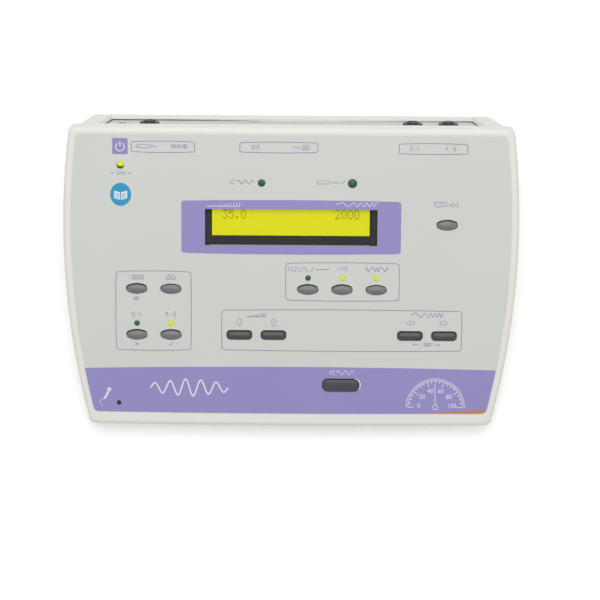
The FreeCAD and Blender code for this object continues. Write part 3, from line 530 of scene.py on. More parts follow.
def rounded(u_low, u_high, v_low, v_high, radius, rise=0.0, swell=0.0):
    """Closed rounded rectangle whose edges bow out by rise (top, bottom) and swell (sides)."""
    middle_u, middle_v = (u_low + u_high) / 2.0, (v_low + v_high) / 2.0
    half_u, half_v = (u_high - u_low) / 2.0, (v_high - v_low) / 2.0
    edge_steps = 14
    points = []
    for sign_u, sign_v, start in ((1, 1, 0.0), (-1, 1, 90.0), (-1, -1, 180.0), (1, -1, 270.0)):
        turn = arc(middle_u + sign_u * (half_u - radius), middle_v + sign_v * (half_v - radius),
                   radius, start, start + 90.0, 5)
        if points:
            points += straight(points[-1], turn[0], edge_steps)
        points += turn
    points += straight(points[-1], points[0], edge_steps)
    bowed = []
    for u, v in points:
        share_u, share_v = (u - middle_u) / half_u, (v - middle_v) / half_v
        bowed.append((middle_u + half_u * share_u + swell * share_u * (1.0 - share_v ** 2),
                      middle_v + half_v * share_v + rise * share_v * (1.0 - share_u ** 2)))
    return bowed


def moved(points, u, v, size=1.0):
    """Points scaled about their origin and carried to u and v."""
    return [(u + size * a, v + size * b) for a, b in points]


def turned(points, quarter_turns):
    for _ in range(quarter_turns):
        points = [(-b, a) for a, b in points]
    return points


def dash(length):
    return [(-length / 2.0, 0.0), (length / 2.0, 0.0)]


def phased(length, height, steps, phase):
    """Wave over a length; phase gives the cycles run through up to a share of it."""
    points = []
    for step in range(steps + 1):
        share = step / steps
        points.append((length * (share - 0.5), height / 2.0 * math.sin(2.0 * math.pi * phase(share))))
    return points


def wave(length, height, cycles, steps=60):
    return phased(length, height, steps, lambda share: cycles * share)


def warbling_wave(length, height):
    """Wave whose pitch swings, as a warble tone's does."""
    def phase(share):
        return 4.5 * share + 0.24 * math.sin(4.0 * math.pi * share)
    return phased(length, height, 72, phase)


def rising_wave(length, height):
    """Wave whose pitch climbs from left to right."""
    return phased(length, height, 90, lambda share: 1.2 * share + 4.2 * share ** 2)


def pulse_train(length, height, count):
    half, step = height / 2.0, length / (2.0 * count)
    points = []
    for index in range(count):
        low = -length / 2.0 + 2.0 * index * step
        points += [(low, -half), (low, half), (low + step, half), (low + step, -half)]
    return points + [(length / 2.0, -half)]


def growing_bars(length, height, count):
    """Upright bars that grow from left to right, on a base line."""
    foot = -height / 2.0
    bars = [[(-length / 2.0, foot), (length / 2.0, foot)]]
    for index in range(count):
        share = index / (count - 1.0)
        at = length * (share - 0.5)
        bars.append([(at, foot), (at, height * (-0.38 + 0.88 * share))])
    return bars


def sound(side):
    """Two sound arcs opening to one side, 1 right, -1 left."""
    return [[(side * a, b) for a, b in arc(0.0, 0.0, radius, -42.0, 42.0, 8)] for radius in (1.0, 2.35)]


def list_rows(length, gap):
    """Three rows, each a point and a line."""
    left = -length / 2.0
    rows = []
    for level in (-gap, 0.0, gap):
        rows += [[(left, level), (left + 0.5, level)], [(left + 1.5, level), (-left, level)]]
    return rows


def long_box(half_breadth):
    """Outline of a hand switch's body."""
    left, right = -4.2, 3.4
    return [(left, -half_breadth), (right, -half_breadth), (right, half_breadth), (left, half_breadth),
            (left, -half_breadth)]


# Signs about their own middle, in millimetres: one path, or several.
ARROW = [(0.0, 2.2), (1.75, 0.4), (0.85, 0.4), (0.85, -2.2), (-0.85, -2.2), (-0.85, 0.4), (-1.75, 0.4)]
TICK = [(-1.6, 0.1), (-0.45, -1.1), (1.7, 1.2)]
CROSS = ([(-1.1, -1.1), (1.1, 1.1)], [(-1.1, 1.1), (1.1, -1.1)])
SLASH = [(-0.6, -1.3), (0.6, 1.3)]
RING = arc(0.0, 0.0, 1.0, 0.0, 360.0, 20)
OPEN_RING = arc(0.0, 0.0, 1.0, 40.0, 320.0, 14)
STRUCK_RING = (RING, [(-0.75, -0.75), (0.75, 0.75)], [(-2.6, 0.0), (-1.6, 0.0)], [(1.6, 0.0), (2.6, 0.0)])
SPEAKER = [(-1.5, -0.6), (-0.5, -0.6), (0.8, -1.35), (0.8, 1.35), (-0.5, 0.6), (-1.5, 0.6), (-1.5, -0.6)]
PRINTER = ([(-2.4, -1.2), (2.4, -1.2), (2.4, 0.4), (-2.4, 0.4), (-2.4, -1.2)],
           [(-1.4, 0.4), (-1.4, 1.4), (1.4, 1.4), (1.4, 0.4)], [(-1.3, -0.4), (1.3, -0.4)])
BUBBLE = ([(-3.4, 1.5), (3.4, 1.5), (3.4, -0.7), (-0.8, -0.7), (-2.1, -1.7), (-2.1, -0.7), (-3.4, -0.7),
           (-3.4, 1.5)], [(-2.0, 0.4), (-1.2, 0.4)], [(-0.4, 0.4), (0.4, 0.4)], [(1.2, 0.4), (2.0, 0.4)])
POINTER = [(-1.9, 0.0), (1.7, 0.0), (0.7, 0.9), (1.7, 0.0), (0.7, -0.9)]


def placed_paths(entries):
    """Paths from (sign, u, v) entries, some with a size; the print shift is taken out again."""
    paths = []
    for sign, u, v, *size in entries:
        group = [sign] if isinstance(sign[0][0], float) else sign
        paths += [moved(path, u - PRINT_SHIFT, v, *size) for path in group]
    return paths


# ---- overlay print
SIGN_LINE = 0.42          # breadth of the signs' lines


def print_frames():
    """Frames round the groups of sockets and keys: ends in u and v, corner, rise and swell."""
    boxes = [
        (-94.1, -56.8, 165.2, 171.1, 0.9, 0.45, 0.0),
        (-30.2, 15.7, 165.4, 170.9, 0.9, 0.45, 0.0),
        (63.5, 103.8, 165.0, 170.6, 0.9, 0.45, 0.0),
        (-103.5, -59.1, 45.9, 93.1, 1.6, 0.55, 0.25),
        (-2.6, 64.4, 76.5, 98.8, 1.6, 0.5, 0.2),
        (-40.6, 102.0, 46.0, 70.1, 1.6, 0.6, 0.2),
    ]
    outlines = [rounded(*box) for box in boxes]
    finish_print(stroke("printed_frames", outlines, 0.44, closed=True), INK_GREY)


def socket_signs():
    """Signs over the sockets: hand switch and power, data and printer, two sounds."""
    row = 168.5
    left_group = [
        (long_box(0.9), -86.6), (dash(1.2), -91.4), (wave(4.0, 1.0, 1.0, 20), -81.2),
        (RING, -69.6, 1.15), (dash(1.2), -69.6), (RING, -62.8, 1.15), (dash(1.2), -62.8),
        (turned(dash(1.2), 1), -62.8), (OPEN_RING, -66.2), (dash(1.1), -67.85), (dash(2.1), -65.05),
    ]
    return [(sign, u, row, *size) for sign, u, *size in left_group] + [
        (POINTER, -21.2, 169.1, 1.25), (turned(POINTER, 2), -21.2, 167.6, 1.25),
        (POINTER, 2.6, 168.3), (PRINTER, 8.4, 168.3),
        (sound(-1), 72.4, 168.0), (sound(1), 94.2, 167.9),
    ]


def key_signs():
    """Signs by the keys and lamps."""
    return [
        (dash(2.2), -105.8, 152.3), (dash(2.2), -95.6, 152.3),
        (SPEAKER, -34.8, 147.4), (wave(10.5, 2.4, 2.5), -27.2, 147.4),
        (long_box(0.95), 19.2, 147.5), (POINTER, 25.4, 147.5, 0.9), (TICK, 29.8, 147.5),
        (BUBBLE, 88.2, 134.4, 1.05), (SPEAKER, 95.0, 134.4, 0.9), (sound(1), 95.8, 134.4, 1.1),
        (list_rows(9.0, 1.1), -91.6, 89.8), (PRINTER, -71.3, 89.9, 1.15),
        (STRUCK_RING, -91.7, 77.1), (sound(-1), -91.6, 67.3, 1.1), (sound(1), -71.2, 67.4, 1.1),
        (CROSS, -91.5, 49.2, 0.85), (TICK, -71.1, 49.3, 0.85),
        (pulse_train(12.0, 2.3, 3), 4.7, 95.2), (SLASH, 12.6, 95.2), (dash(8.0), 18.6, 95.2),
        (warbling_wave(13.0, 2.5), 50.9, 95.3), (growing_bars(10.8, 2.6, 9), -20.3, 67.5),
        (rising_wave(19.5, 2.5), 81.2, 67.8), (list_rows(6.0, 0.8), 81.0, 49.75),
        (turned(POINTER, 2), 74.6, 49.75, 0.9), (POINTER, 87.4, 49.75, 0.9),
    ]


def print_symbols():
    """Signs and key arrows in the legend colour, and the pale signs on violet."""
    arrows = placed_paths([(turned(ARROW, 2), -30.4, 62.7), (ARROW, -10.2, 62.9),
                           (turned(ARROW, 1), 71.3, 62.9), (turned(ARROW, 3), 91.3, 62.9)])
    signs = stroke("signs", placed_paths(socket_signs() + key_signs()), SIGN_LINE)
    symbols = join([signs, stroke("arrows", arrows, 0.46, closed=True)], "printed_symbols")
    finish_print(symbols, INK_GREY)
    pale = placed_paths([
        (growing_bars(19.5, 2.5, 12), -40.2, 134.1), (rising_wave(24.0, 2.4), 38.6, 134.2),
        (SPEAKER, 25.4, 32.3, 1.05), (wave(10.4, 2.5, 2.5), 32.8, 32.3),
    ])
    finish_print(stroke("pale_symbols", pale, SIGN_LINE), INK_WHITE)


def print_words():
    """The few characters that any such instrument carries."""
    words = [("L", 75.0, 168.0, 2.3), ("R", 91.6, 167.9, 2.3), ("ON", -100.5, 152.3, 2.4),
             ("L", -89.4, 67.35, 2.6), ("R", -73.2, 67.4, 2.6), ("+10", 30.8, 95.4, 2.6)]
    finish_print(join([word(*entry) for entry in words], "printed_words"), INK_GREY)


def print_power_sign():
    """White power sign, an open ring with a bar, on a violet field."""
    u, v, radius, breadth = -100.75, 168.0, 2.5, 0.75
    finish_print(patch("power_field", rounded(-105.3, -96.2, 163.6, 173.2, 0.8)), INK_VIOLET)
    sign = join([stroke("power_ring", [arc(u, v, radius, 122.0, 418.0, 30)], breadth),
                 stroke("power_bar", [[(u, v + 3.4), (u, v + 0.2)]], breadth)], "power_sign")
    finish_print(sign, INK_WHITE, INK)


def print_book_sign():
    """Open book with lines of print, on a blue disc a little taller than wide."""
    u, v, fold, radius, stretch = -100.5, 139.6, -100.49, 6.2, 1.12
    field = [(a, v + stretch * (b - v)) for a, b in disc(u, v, radius)]
    finish_print(patch("book_field", field), INK_BLUE)
    left_page = [(-3.91, 2.3), (-0.31, 1.3), (-0.31, -3.3), (-3.91, -2.2)]
    right_page = [(-a, b) for a, b in reversed(left_page)]
    pages = join([patch("left_page", moved(left_page, fold, v)),
                  patch("right_page", moved(right_page, fold, v))], "book_pages")
    finish_print(pages, INK_WHITE, INK)
    lines = [moved([(side * 1.2, 0.3), (side * -1.2, -0.35)], u + side * 1.85, v + level)
             for side in (-1, 1) for level in (0.3, -0.7, -1.7)]
    finish_print(stroke("book_lines", lines, 0.3), INK_BLUE, 2.0 * INK)


def print_microphone_sign():
    """Hand microphone with its cable."""
    handle = [(-109.15, 20.3), (-111.4, 15.75), (-110.25, 15.2), (-107.35, 20.9)]
    head = disc(-108.0, 21.2, 1.25, 20)
    cable = [(-110.8, 15.6), (-112.0, 15.3), (-113.2, 14.6), (-113.6, 13.5), (-113.1, 12.5),
             (-112.3, 11.6), (-111.8, 10.6)]
    sign = join([patch("microphone_handle", handle), patch("microphone_head", head),
                 stroke("microphone_cable", [cable], 0.34)], "microphone_sign")
    finish_print(sign, INK_WHITE)


def print_wave():
    """Plain wave in the band, lower towards its ends."""
    length, height, cycles, end_loss = 46.0, 11.0, 5.0, 0.55
    trace = [(u, v * (1.0 - end_loss * abs(u) / (length / 2.0)))
             for u, v in wave(length, height, cycles, 120)]
    finish_print(stroke("wave_trace", [moved(trace, -60.1, 22.6)], 1.1), INK_WHITE)


def print_dial():
    """Half dial with graduations, plain numbers, a hub and a pointer."""
    u, v, breadth = 87.1, 11.4, 0.5
    outer, inner, long_mark, short_mark, hub = 17.4, 16.3, 12.9, 14.7, 1.5
    pointer_turn, pointer_tip = 1.6, 14.2
    number_reach, number_rise, number_lift, number_height = 9.9, 9.4, 0.9, 2.7

    def ray(angle, start, end):
        return [(u + radius * math.cos(angle), v + radius * math.sin(angle)) for radius in (start, end)]

    lines = [arc(u, v, radius, 0.0, 180.0, 40) for radius in (outer, inner)]
    for index in range(21):
        lines.append(ray(math.radians(9.0 * index), short_mark if index % 4 else long_mark, inner))
    lines.append(ray(pointer_turn, hub + 0.1, pointer_tip))
    numbers = []
    for index in range(6):
        angle = math.radians(180.0 - 36.0 * index)
        numbers.append(word(str(20 * index), u + number_reach * math.cos(angle),
                            v + number_lift + number_rise * math.sin(angle), number_height))
    rings = [stroke("dial_lines", lines, breadth),
             stroke("dial_hub", [disc(u, v, hub, 20)], breadth, closed=True)]
    finish_print(join(rings + numbers, "graduated_dial"), INK_WHITE)


def print_corner():
    """Orange wedge at the right end of the band's front edge."""
    corner = [(74.0, 7.5), (98.0, 7.55), (114.2, 7.66), (115.5, 7.9), (116.4, 8.45), (117.0, 9.3),
              (117.2, 10.1), (104.0, 9.2), (88.0, 8.1)]
    finish_print(patch("corner_wedge", corner), INK_ORANGE, INK)


# ---- display characters
DOT_ROWS = {              # 1 is a lit dot
    "0": ("01110", "10001", "10001", "10001", "10001", "10001", "01110"),
    "2": ("01110", "10001", "00001", "00010", "00100", "01000", "11111"),
    "3": ("11111", "00010", "00100", "00010", "00001", "10001", "01110"),
    "5": ("11111", "10000", "11110", "00001", "00001", "10001", "01110"),
    ".": ("00000", "00000", "00000", "00000", "00000", "01100", "01100"),
}
CHARACTER_PITCH = 3.7
DOT_PITCH = (0.6, 0.8)
DOT_GAP = 0.02            # taken off each side of a dot
DOT_LIFT = 0.02           # dots above the glass
DISPLAY_ROW = 127.55      # v of the characters' middle


def dot_character(character, u, v):
    """One display character: a grid of dots with the unlit ones taken out."""
    across, down = len(DOT_ROWS[character][0]), len(DOT_ROWS[character])
    select()
    bpy.ops.mesh.primitive_grid_add(x_subdivisions=across, y_subdivisions=down, size=1.0)
    piece = bpy.context.object
    piece.data.transform(Matrix.Diagonal((across * DOT_PITCH[0], down * DOT_PITCH[1], 1.0, 1.0)))
    set_mode("EDIT")
    bpy.ops.mesh.select_mode(type="FACE")
    bpy.ops.mesh.select_all(action="DESELECT")
    set_mode("OBJECT")
    for face in piece.data.polygons:
        column = int(face.center.x / DOT_PITCH[0] + across / 2.0)
        row = int(down / 2.0 - face.center.y / DOT_PITCH[1])
        face.select = DOT_ROWS[character][row][column] == "0"
    set_mode("EDIT")
    bpy.ops.mesh.delete(type="FACE")
    bpy.ops.mesh.select_all(action="SELECT")
    bpy.ops.mesh.inset(thickness=DOT_GAP, use_individual=True)
    bpy.ops.mesh.select_all(action="INVERT")
    bpy.ops.mesh.delete(type="FACE")
    set_mode("OBJECT")
    piece.data.transform(Matrix.Translation((u, v, 0.0)))
    return piece


def print_display():
    """The level and the pitch that the display shows."""
    pieces = [dot_character(character, first_u + index * CHARACTER_PITCH, DISPLAY_ROW)
              for text, first_u in (("35.0", -39.1), ("2000", 27.8))
              for index, character in enumerate(text)]
    finish_print(join(pieces, "display_text"), DOT_DARK, GLASS_TOP + DOT_LIFT)


print_frames()
print_symbols()
print_words()
print_power_sign()
print_book_sign()
print_microphone_sign()
print_wave()
print_dial()
print_corner()
print_display()


# ---- keys
KEY_PITCH = 20.32
ROWS = {"present": 24.6, "arrow": 54.85, "menu": 82.8, "talk": 122.1}
KEYS = {                  # kind, column in pitches, row, shift from the column
    "menu_key": ("oval", -4.5, "menu", 0.0), "print_key": ("oval", -3.5, "menu", 0.0),
    "left_key": ("oval", -4.5, "arrow", 0.0), "right_key": ("oval", -3.5, "arrow", 0.0),
    "pulse_key": ("oval", 0.5, "menu", 0.0), "boost_key": ("oval", 1.5, "menu", 0.0),
    "warble_key": ("oval", 2.5, "menu", 0.0), "talk_key": ("oval", 4.5, "talk", 0.9),
    "level_down_key": ("bar", -1.5, "arrow", 0.0), "level_up_key": ("bar", -0.5, "arrow", 0.0),
    "pitch_down_key": ("bar", 3.5, "arrow", 0.0), "pitch_up_key": ("bar", 4.5, "arrow", 0.0),
    "tone_key": ("wide", 1.5, "present", -0.3),
}
KEY_SIZES = {             # length, breadth, radius at the ends
    "oval": (12.1, 5.5, 1.8), "bar": (14.9, 4.9, 2.2), "wide": (22.0, 7.2, 3.35),
}
WALL_TOPS = {"oval": 0.35, "bar": 0.35, "wide": 0.65}   # w where a key's rim starts to turn over
SEAT = -2.9               # w of the top of a key's flange
FLANGE = 1.2              # its thickness, and how far it stands out
STEM = (1.4, -7.9)        # half breadth of a key's stem, and w of its foot
HOLE_GAP = 0.3            # between a key and its hole in the film
# Painted light at the keys' holes: the pale slivers are painted highlights, the dark ones painted
# shadows.
HOLE_HIGHLIGHTS = {            # of each hole: start and end angle, breadth
    "oval": (-45.0, 62.0, 0.26), "bar": (-70.0, 20.0, 0.25), "wide": (-45.0, 85.0, 0.6),
}
HOLE_SHADOWS = {"oval": (14.0, 180.0, 0.5), "bar": (15.0, 170.0, 0.5), "wide": (20.0, 165.0, 0.2)}
NARROW_HOLE_SHADOWS = {"print_key": 0.25, "warble_key": 0.25}  # breadth of the dark edge at two keys
MICROPHONE = (-102.4, 13.2, 1.39)                       # u, v and radius of its cloth


def key_place(name):
    _, column, row, shift = KEYS[name]
    return column * KEY_PITCH + shift, ROWS[row]


def round_key(name, outline):
    """An outline, drawn about the origin, carried to a key."""
    return moved(outline, *key_place(name))


def oval_spot(angle, grow):
    """Point of an oval key's outline whose normal has the given angle."""
    length, breadth, end = KEY_SIZES["oval"]
    tip, side = length / 2.0, breadth / 2.0
    flat = ((tip - end) ** 2 + side ** 2 - end ** 2) / (2.0 * (side - end))
    meet = math.degrees(math.atan2(flat - side, tip - end))
    folded = min(angle % 180.0, 180.0 - angle % 180.0)
    turn = math.radians(angle)
    if folded <= meet:
        across = math.copysign(tip - end, math.cos(turn))
        return across + (end + grow) * math.cos(turn), (end + grow) * math.sin(turn)
    along = math.copysign(flat - side, -math.sin(turn))
    return (flat + grow) * math.cos(turn), along + (flat + grow) * math.sin(turn)


def bar_spot(kind, angle, grow):
    """The same for a bar with rounded corners."""
    length, breadth, corner = KEY_SIZES[kind]
    turn = math.radians(angle)
    across = math.copysign(length / 2.0 - corner, math.cos(turn))
    along = math.copysign(breadth / 2.0 - corner, math.sin(turn))
    return across + (corner + grow) * math.cos(turn), along + (corner + grow) * math.sin(turn)


def key_spot(kind, angle, grow):
    """Point of a key's outline, grown outwards, whose normal has the given angle."""
    return oval_spot(angle, grow) if kind == "oval" else bar_spot(kind, angle, grow)


def key_outline(kind, grow):
    """A key's outline, grown outwards."""
    count = 72
    return [key_spot(kind, 360.0 * (index + 0.5) / count, grow) for index in range(count)]


def edit_all():
    """Edit mode with every face selected."""
    set_mode("EDIT")
    bpy.ops.mesh.select_mode(type="FACE")
    bpy.ops.mesh.select_all(action="SELECT")


def outline_face(outline, level):
    """Flat face on an outline, selected in edit mode."""
    select()
    bpy.ops.mesh.primitive_circle_add(vertices=len(outline), radius=1.0, fill_type="NGON")
    piece = bpy.context.object
    for vertex, (u, v) in zip(piece.data.vertices, outline):
        vertex.co = (u, v, level)
    edit_all()
    return piece


def push(height):
    """Extrudes the selected faces straight up, or down."""
    bpy.ops.mesh.extrude_region_move(TRANSFORM_OT_translate={"value": (0.0, 0.0, height)})


def round_shading():
    """Soft shading of the active piece's shallow edges."""
    bpy.ops.object.shade_smooth_by_angle(angle=math.radians(40.0))


def close_form():
    """Outward faces, then back to object mode with soft shading."""
    bpy.ops.mesh.select_all(action="SELECT")
    bpy.ops.mesh.remove_doubles(threshold=0.0005)
    bpy.ops.mesh.normals_make_consistent(inside=False)
    set_mode("OBJECT")
    round_shading()


def rounded_rim(radius):
    """Turns the selected top face's edge over."""
    steps = 5
    for step in range(1, steps + 1):
        low, high = (math.radians(90.0 * at / steps) for at in (step - 1, step))
        bpy.ops.mesh.inset(thickness=radius * (math.cos(low) - math.cos(high)),
                           depth=radius * (math.sin(high) - math.sin(low)))


def break_edges(offset):
    """Bevels every edge of the active piece."""
    edit_all()
    bpy.ops.mesh.bevel(offset=offset, segments=2, affect="EDGES")
    set_mode("OBJECT")


def block(half_length, half_breadth, low, high):
    """Upright box about the w axis, with broken edges."""
    select()
    bpy.ops.mesh.primitive_cube_add(size=1.0)
    piece = bpy.context.object
    size = Matrix.Diagonal((2.0 * half_length, 2.0 * half_breadth, high - low, 1.0))
    piece.data.transform(raised((low + high) / 2.0) @ size)
    break_edges(0.15)
    return piece


def dome(height):
    """Domed crown of rings that shrink and climb ever less."""
    rings = 8
    scale = 1.0
    for step in range(1, rings):
        left = 1.0 - step / rings
        push(height * ((left + 1.0 / rings) ** 2 - left ** 2))
        bpy.ops.transform.resize(value=(left / scale, left / scale, 1.0))
        scale = left


def pillow(breadth, height):
    """Pillowed crown: four insets that rise ever less."""
    for thickness, depth in ((0.35, 0.26), (0.4, 0.22), (0.45, 0.16), (0.45, 0.09)):
        bpy.ops.mesh.inset(thickness=thickness * breadth, depth=depth * height)


def model_key(kind):
    """Key with a turned-over rim and a domed or pillowed crown, its flange and its stem."""
    length, breadth, _ = KEY_SIZES[kind]
    cap = outline_face(key_outline(kind, 0.0), SEAT)
    push(WALL_TOPS[kind] - SEAT)
    rounded_rim(0.55 if kind == "wide" else 0.4)
    if kind == "oval":
        dome(0.75)
    elif kind == "bar":
        pillow(breadth=1.0, height=1.0)
    else:
        pillow(breadth=1.4, height=0.38)
    close_form()
    flange = block(length / 2.0 + FLANGE, breadth / 2.0 + FLANGE, SEAT - FLANGE, SEAT)
    stem = block(STEM[0], STEM[0], STEM[1], SEAT - FLANGE)
    return join([cap, flange, stem], kind + "_key_form")


def make_keys():
    """A soft cap in place of each plain key."""
    forms = {kind: model_key(kind) for kind in KEY_SIZES}
    for name, (kind, *_) in KEYS.items():
        cap = copy_of(forms[kind], name + "_cap")
        slot = "key_grey" if kind == "oval" else "key_dark"
        settle(cap, FINISHES[slot], TO_FACE @ Matrix.Translation((*key_place(name), 0.0)), name)
        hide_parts(name)
    discard(*forms.values())


def make_key_gap_shade():
    """Dark rings just under the film in the gaps round the keys: painted shade for the gaps."""
    rings = []
    for name, (kind, *_) in KEYS.items():
        outer, inner = (round_key(name, key_outline(kind, grow)) for grow in (HOLE_GAP - 0.01, 0.1))
        rings.append(thicken(patch(name + "_gap_shade", outer, inner), level=-0.55, times=6.0))
    settle(join(rings, "key_gap_shade"), FINISHES["switch_black"])


def crescent(kind, start, end, breadth):
    """Sliver along a key's hole, widest in its middle."""
    steps = 26
    outer, inner = [], []
    for step in range(steps + 1):
        share = step / steps
        angle = start + (end - start) * share
        outer.append(key_spot(kind, angle, HOLE_GAP + breadth * math.sin(math.pi * share) ** 0.6))
        inner.append(key_spot(kind, angle, HOLE_GAP - 0.02))
    return outer + inner[::-1]


def paint_hole_light():
    """Painted highlight along the right of each key's hole in the film, and painted shadow along its
    rear.
    """
    pale, painted_shade_pieces = [], []
    for name, (kind, *_) in KEYS.items():
        # The pale slivers are painted highlights, the dark ones painted shadows.
        pale.append(patch(name + "_edge", round_key(name, crescent(kind, *HOLE_HIGHLIGHTS[kind]))))
        start, end, breadth = HOLE_SHADOWS[kind]
        sliver = crescent(kind, start, end, NARROW_HOLE_SHADOWS.get(name, breadth))
        painted_shade_pieces.append(patch(name + "_gap", round_key(name, sliver)))
    settle(join(pale, "painted_hole_highlights"), HIGHLIGHT_INK, TO_FACE @ raised(0.005))
    settle(join(painted_shade_pieces, "painted_hole_shadows"), FINISHES["chip_black"])


def make_cloth_and_window_highlight():
    """Cloth behind the microphone's hole, and a pale strip in front of the display window, a painted
    highlight on the window's edge.
    """
    cloth = patch("microphone_cloth", disc(*MICROPHONE, 32))
    settle(cloth, FINISHES["display_metal"], TO_FACE @ raised(-0.3))
    # Painted highlight: a pale strip along the display window's front edge.
    window_highlight = patch("window_edge_highlight", [(-48.0, 109.27), (46.6, 109.27), (46.6, 109.85), (-48.0, 109.85)])
    settle(window_highlight, FINISHES["knob_grey"])


# ---- rear panel
def foot_strip(name, outline):
    """Strip along the panel's foot, from (u, distance from the panel) points."""
    strip = patch(name, [(u, PANEL_FACE + gap) for u, gap in outline])
    return thicken(strip, level=PANEL_FOOT, times=8.0)


def paint_panel_light_and_shade():
    """Painted shade round the rear panel: dark strips at the ends of the foot and up the sides; between
    them a pale strip over the groove paints out its shade.
    """
    # Painted shade along the foot, broadest at the left end and fading towards the middle.
    left = [(-PANEL_END, 0.6), (-70.0, 0.58), (-40.0, 0.46), (-12.0, 0.04)]
    right = [(30.0, 0.04), (62.0, 0.2), (84.0, 0.3), (PANEL_END, 0.5)]
    painted_shade_pieces = [foot_strip("foot_strip", [(u, 0.0) for u, _ in edge] + edge[::-1])
            for edge in (left, right)]
    settle(join(painted_shade_pieces, "panel_foot_shade"), FINISHES["foot_rubber"])
    sides = []
    # Painted shade up both sides of the panel.
    low, high = PANEL_FOOT + 0.3, -19.0
    for side in (-1.0, 1.0):
        outline = [(side * u, w) for u, w in ((108.2, low), (109.1, low), (114.7, high), (114.0, high))]
        sides.append(thicken(patch("side_strip", outline), level=0.12, times=6.0))
    settle(join(sides, "panel_side_shade"), FINISHES["foot_rubber"], TO_PANEL)
    # Painted light: a pale strip over the rest of the groove, where its shade would show.
    painted_light_strip = foot_strip("foot_painted_light", [(-12.0, 0.08), (-PANEL_END, 0.62), (PANEL_END, 0.62),
                                        (PANEL_END, 0.54), (30.0, 0.08)])
    settle(painted_light_strip, FINISHES["base_plastic"])


def print_panel():
    """Small signs by the sockets and the power switch."""
    signs = [word(text, -u, -15.6, 2.8) for text, u in zip("LR", JACKS)]
    data = [moved(POINTER, 22.0, -45.2, 2.2), moved(turned(POINTER, 2), 22.0, -46.9, 2.2)]
    signs.append(stroke("data_sign", data, 0.45))
    signs.append(stroke("switch_ticks", [[(102.6, -21.4), (102.6, -19.6)]], 0.4))
    signs.append(stroke("switch_ring", [disc(97.4, -20.5, 0.9, 20)], 0.4, closed=True))
    settle(join(signs, "panel_signs"), INK_VIOLET, TO_PANEL @ raised(0.02))


def make_nuts():
    """Flanged nuts of the jacks: broken flange edge, stepped crown and open bore."""
    radius, flange, bore_depth = 5.85, 2.95, 1.6
    nut = outline_face(disc(0.0, 0.0, radius, 48), 0.0)
    push(flange)
    for inwards, upwards in ((0.15, 0.15), (1.75, 0.0), (0.15, 0.5), (0.3, 0.35), (0.3, 0.0)):
        bpy.ops.mesh.inset(thickness=inwards, depth=upwards)
    push(-bore_depth)
    close_form()
    nuts = []
    for u in JACKS:
        nuts.append(copy_of(nut, "nut_copy"))
        nuts[-1].data.transform(Matrix.Translation((-u, SOCKET_DROP, 0.0)))
    discard(nut)
    whole = settle(join(nuts, "flanged_nuts"), FINISHES["nut_black"], TO_PANEL)
    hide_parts("jack_nuts")


def jack_sleeve(u):
    """Open metal sleeve in a jack's bore."""
    select()
    bpy.ops.mesh.primitive_cylinder_add(vertices=32, radius=1.78, depth=3.0, end_fill_type="NOTHING")
    sleeve = bpy.context.object
    edit_all()
    bpy.ops.mesh.solidify(thickness=0.22)
    set_mode("OBJECT")
    sleeve.data.transform(Matrix.Translation((-u, SOCKET_DROP, 2.0)))
    return sleeve


def printer_pin(angle):
    """Pin of the printer socket, on a ring about its axis."""
    socket_at, ring = -6.5, 2.3
    select()
    bpy.ops.mesh.primitive_cylinder_add(vertices=12, radius=0.42, depth=2.2)
    pin = bpy.context.object
    break_edges(0.14)
    pin.data.transform(Matrix.Translation((socket_at + ring * math.cos(angle),
                                           SOCKET_DROP + ring * math.sin(angle), -0.4)))
    return pin


def make_contacts():
    """Metal sleeves in the jacks and pins in the printer socket."""
    pieces = [jack_sleeve(u) for u in JACKS]
    pieces += [printer_pin(math.radians(30.0 + 60.0 * index)) for index in range(6)]
    whole = join(pieces, "socket_contacts")
    round_shading()
    settle(whole, FINISHES["socket_metal"], TO_PANEL)


make_keys()
make_key_gap_shade()
paint_hole_light()
make_cloth_and_window_highlight()
paint_panel_light_and_shade()
print_panel()
make_nuts()
make_contacts()


# ---- floor, light and camera
def seen_directly(tree):
    """1 where the camera, a reflection or a clear sheet looks, else 0."""
    path = add(tree, "ShaderNodeLightPath")
    through = maths(tree, "MAXIMUM", path.outputs["Is Glossy Ray"], path.outputs["Is Transmission Ray"])
    return maths(tree, "MAXIMUM", path.outputs["Is Camera Ray"], through)


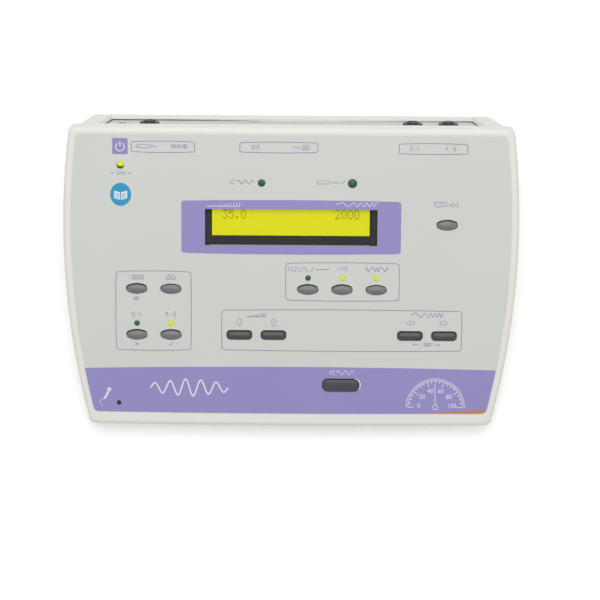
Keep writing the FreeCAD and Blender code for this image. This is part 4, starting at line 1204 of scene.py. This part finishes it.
def make_floor():
    """White floor that glows more the further it lies from the object."""
    select()
    bpy.ops.mesh.primitive_plane_add(size=6.0)
    floor = bpy.context.object
    floor.name = "floor"
    material, tree, shader = start_material("floor_white")
    vector = object_place(tree)
    dull, bright = ((white, white, white, 1.0) for white in (0.955, 0.965))
    paint(tree, shader, blend(tree, noise(tree, vector, 3.0), dull, bright), 0.0)
    shader.inputs["Roughness"].default_value = 0.9
    away = add(tree, "ShaderNodeVectorMath", operation="LENGTH")
    tree.links.new(vector, away.inputs[0])
    lift = between(tree, away.outputs["Value"], 0.1, 1.2, 0.2, 1.0)
    shader.inputs["Emission Color"].default_value = (1.0, 1.0, 1.0, 1.0)
    shown = maths(tree, "MULTIPLY", seen_directly(tree), lift)
    tree.links.new(shown, shader.inputs["Emission Strength"])
    dress(floor, material)


def make_world(strength):
    """Even pale surroundings; straight to the camera they are white."""
    world = bpy.data.worlds.new("studio")
    world.use_nodes = True
    tree = world.node_tree
    tree.nodes.clear()
    output = add(tree, "ShaderNodeOutputWorld")
    choose = add(tree, "ShaderNodeMixShader")
    tree.links.new(seen_directly(tree), choose.inputs[0])
    for socket, amount in ((choose.inputs[1], strength), (choose.inputs[2], 1.0)):
        even = add(tree, "ShaderNodeBackground")
        fill(tree, [even.inputs["Color"], even.inputs["Strength"]], ((1.0, 1.0, 1.0, 1.0), amount))
        tree.links.new(even.outputs[0], socket)
    tree.links.new(choose.outputs[0], output.inputs["Surface"])
    bpy.context.scene.world = world


def add_panel(name, place, target, size, power):
    """Soft square light."""
    data = bpy.data.lights.new(name, "AREA")
    data.shape = "SQUARE"
    data.size = size
    data.energy = power
    lamp = new_object(name, data)
    lamp.location = place
    lamp.rotation_euler = (Vector(target) - Vector(place)).to_track_quat("-Z", "Y").to_euler()


def make_camera():
    """Long lens straight above the face, a hair turned."""
    data = bpy.data.cameras.new("camera")
    data.sensor_width = 36.0
    data.lens = 182.79
    data.clip_start = 0.05
    data.clip_end = 20.0
    camera = new_object("camera", data)
    camera.location = (0.00548, FRONT_Y / 1000.0 + 0.0749, FRONT_Z / 1000.0 + 1.82655)
    camera.rotation_euler = (0.0, 0.0, math.radians(0.37))
    bpy.context.scene.camera = camera


make_floor()
make_world(strength=0.40)
add_panel("key_panel", place=(0.0, 0.4, 1.6), target=(0.0, 0.0, 0.0), size=1.2, power=18.8)
make_camera()

scene = bpy.context.scene
scene.view_settings.view_transform = "Standard"
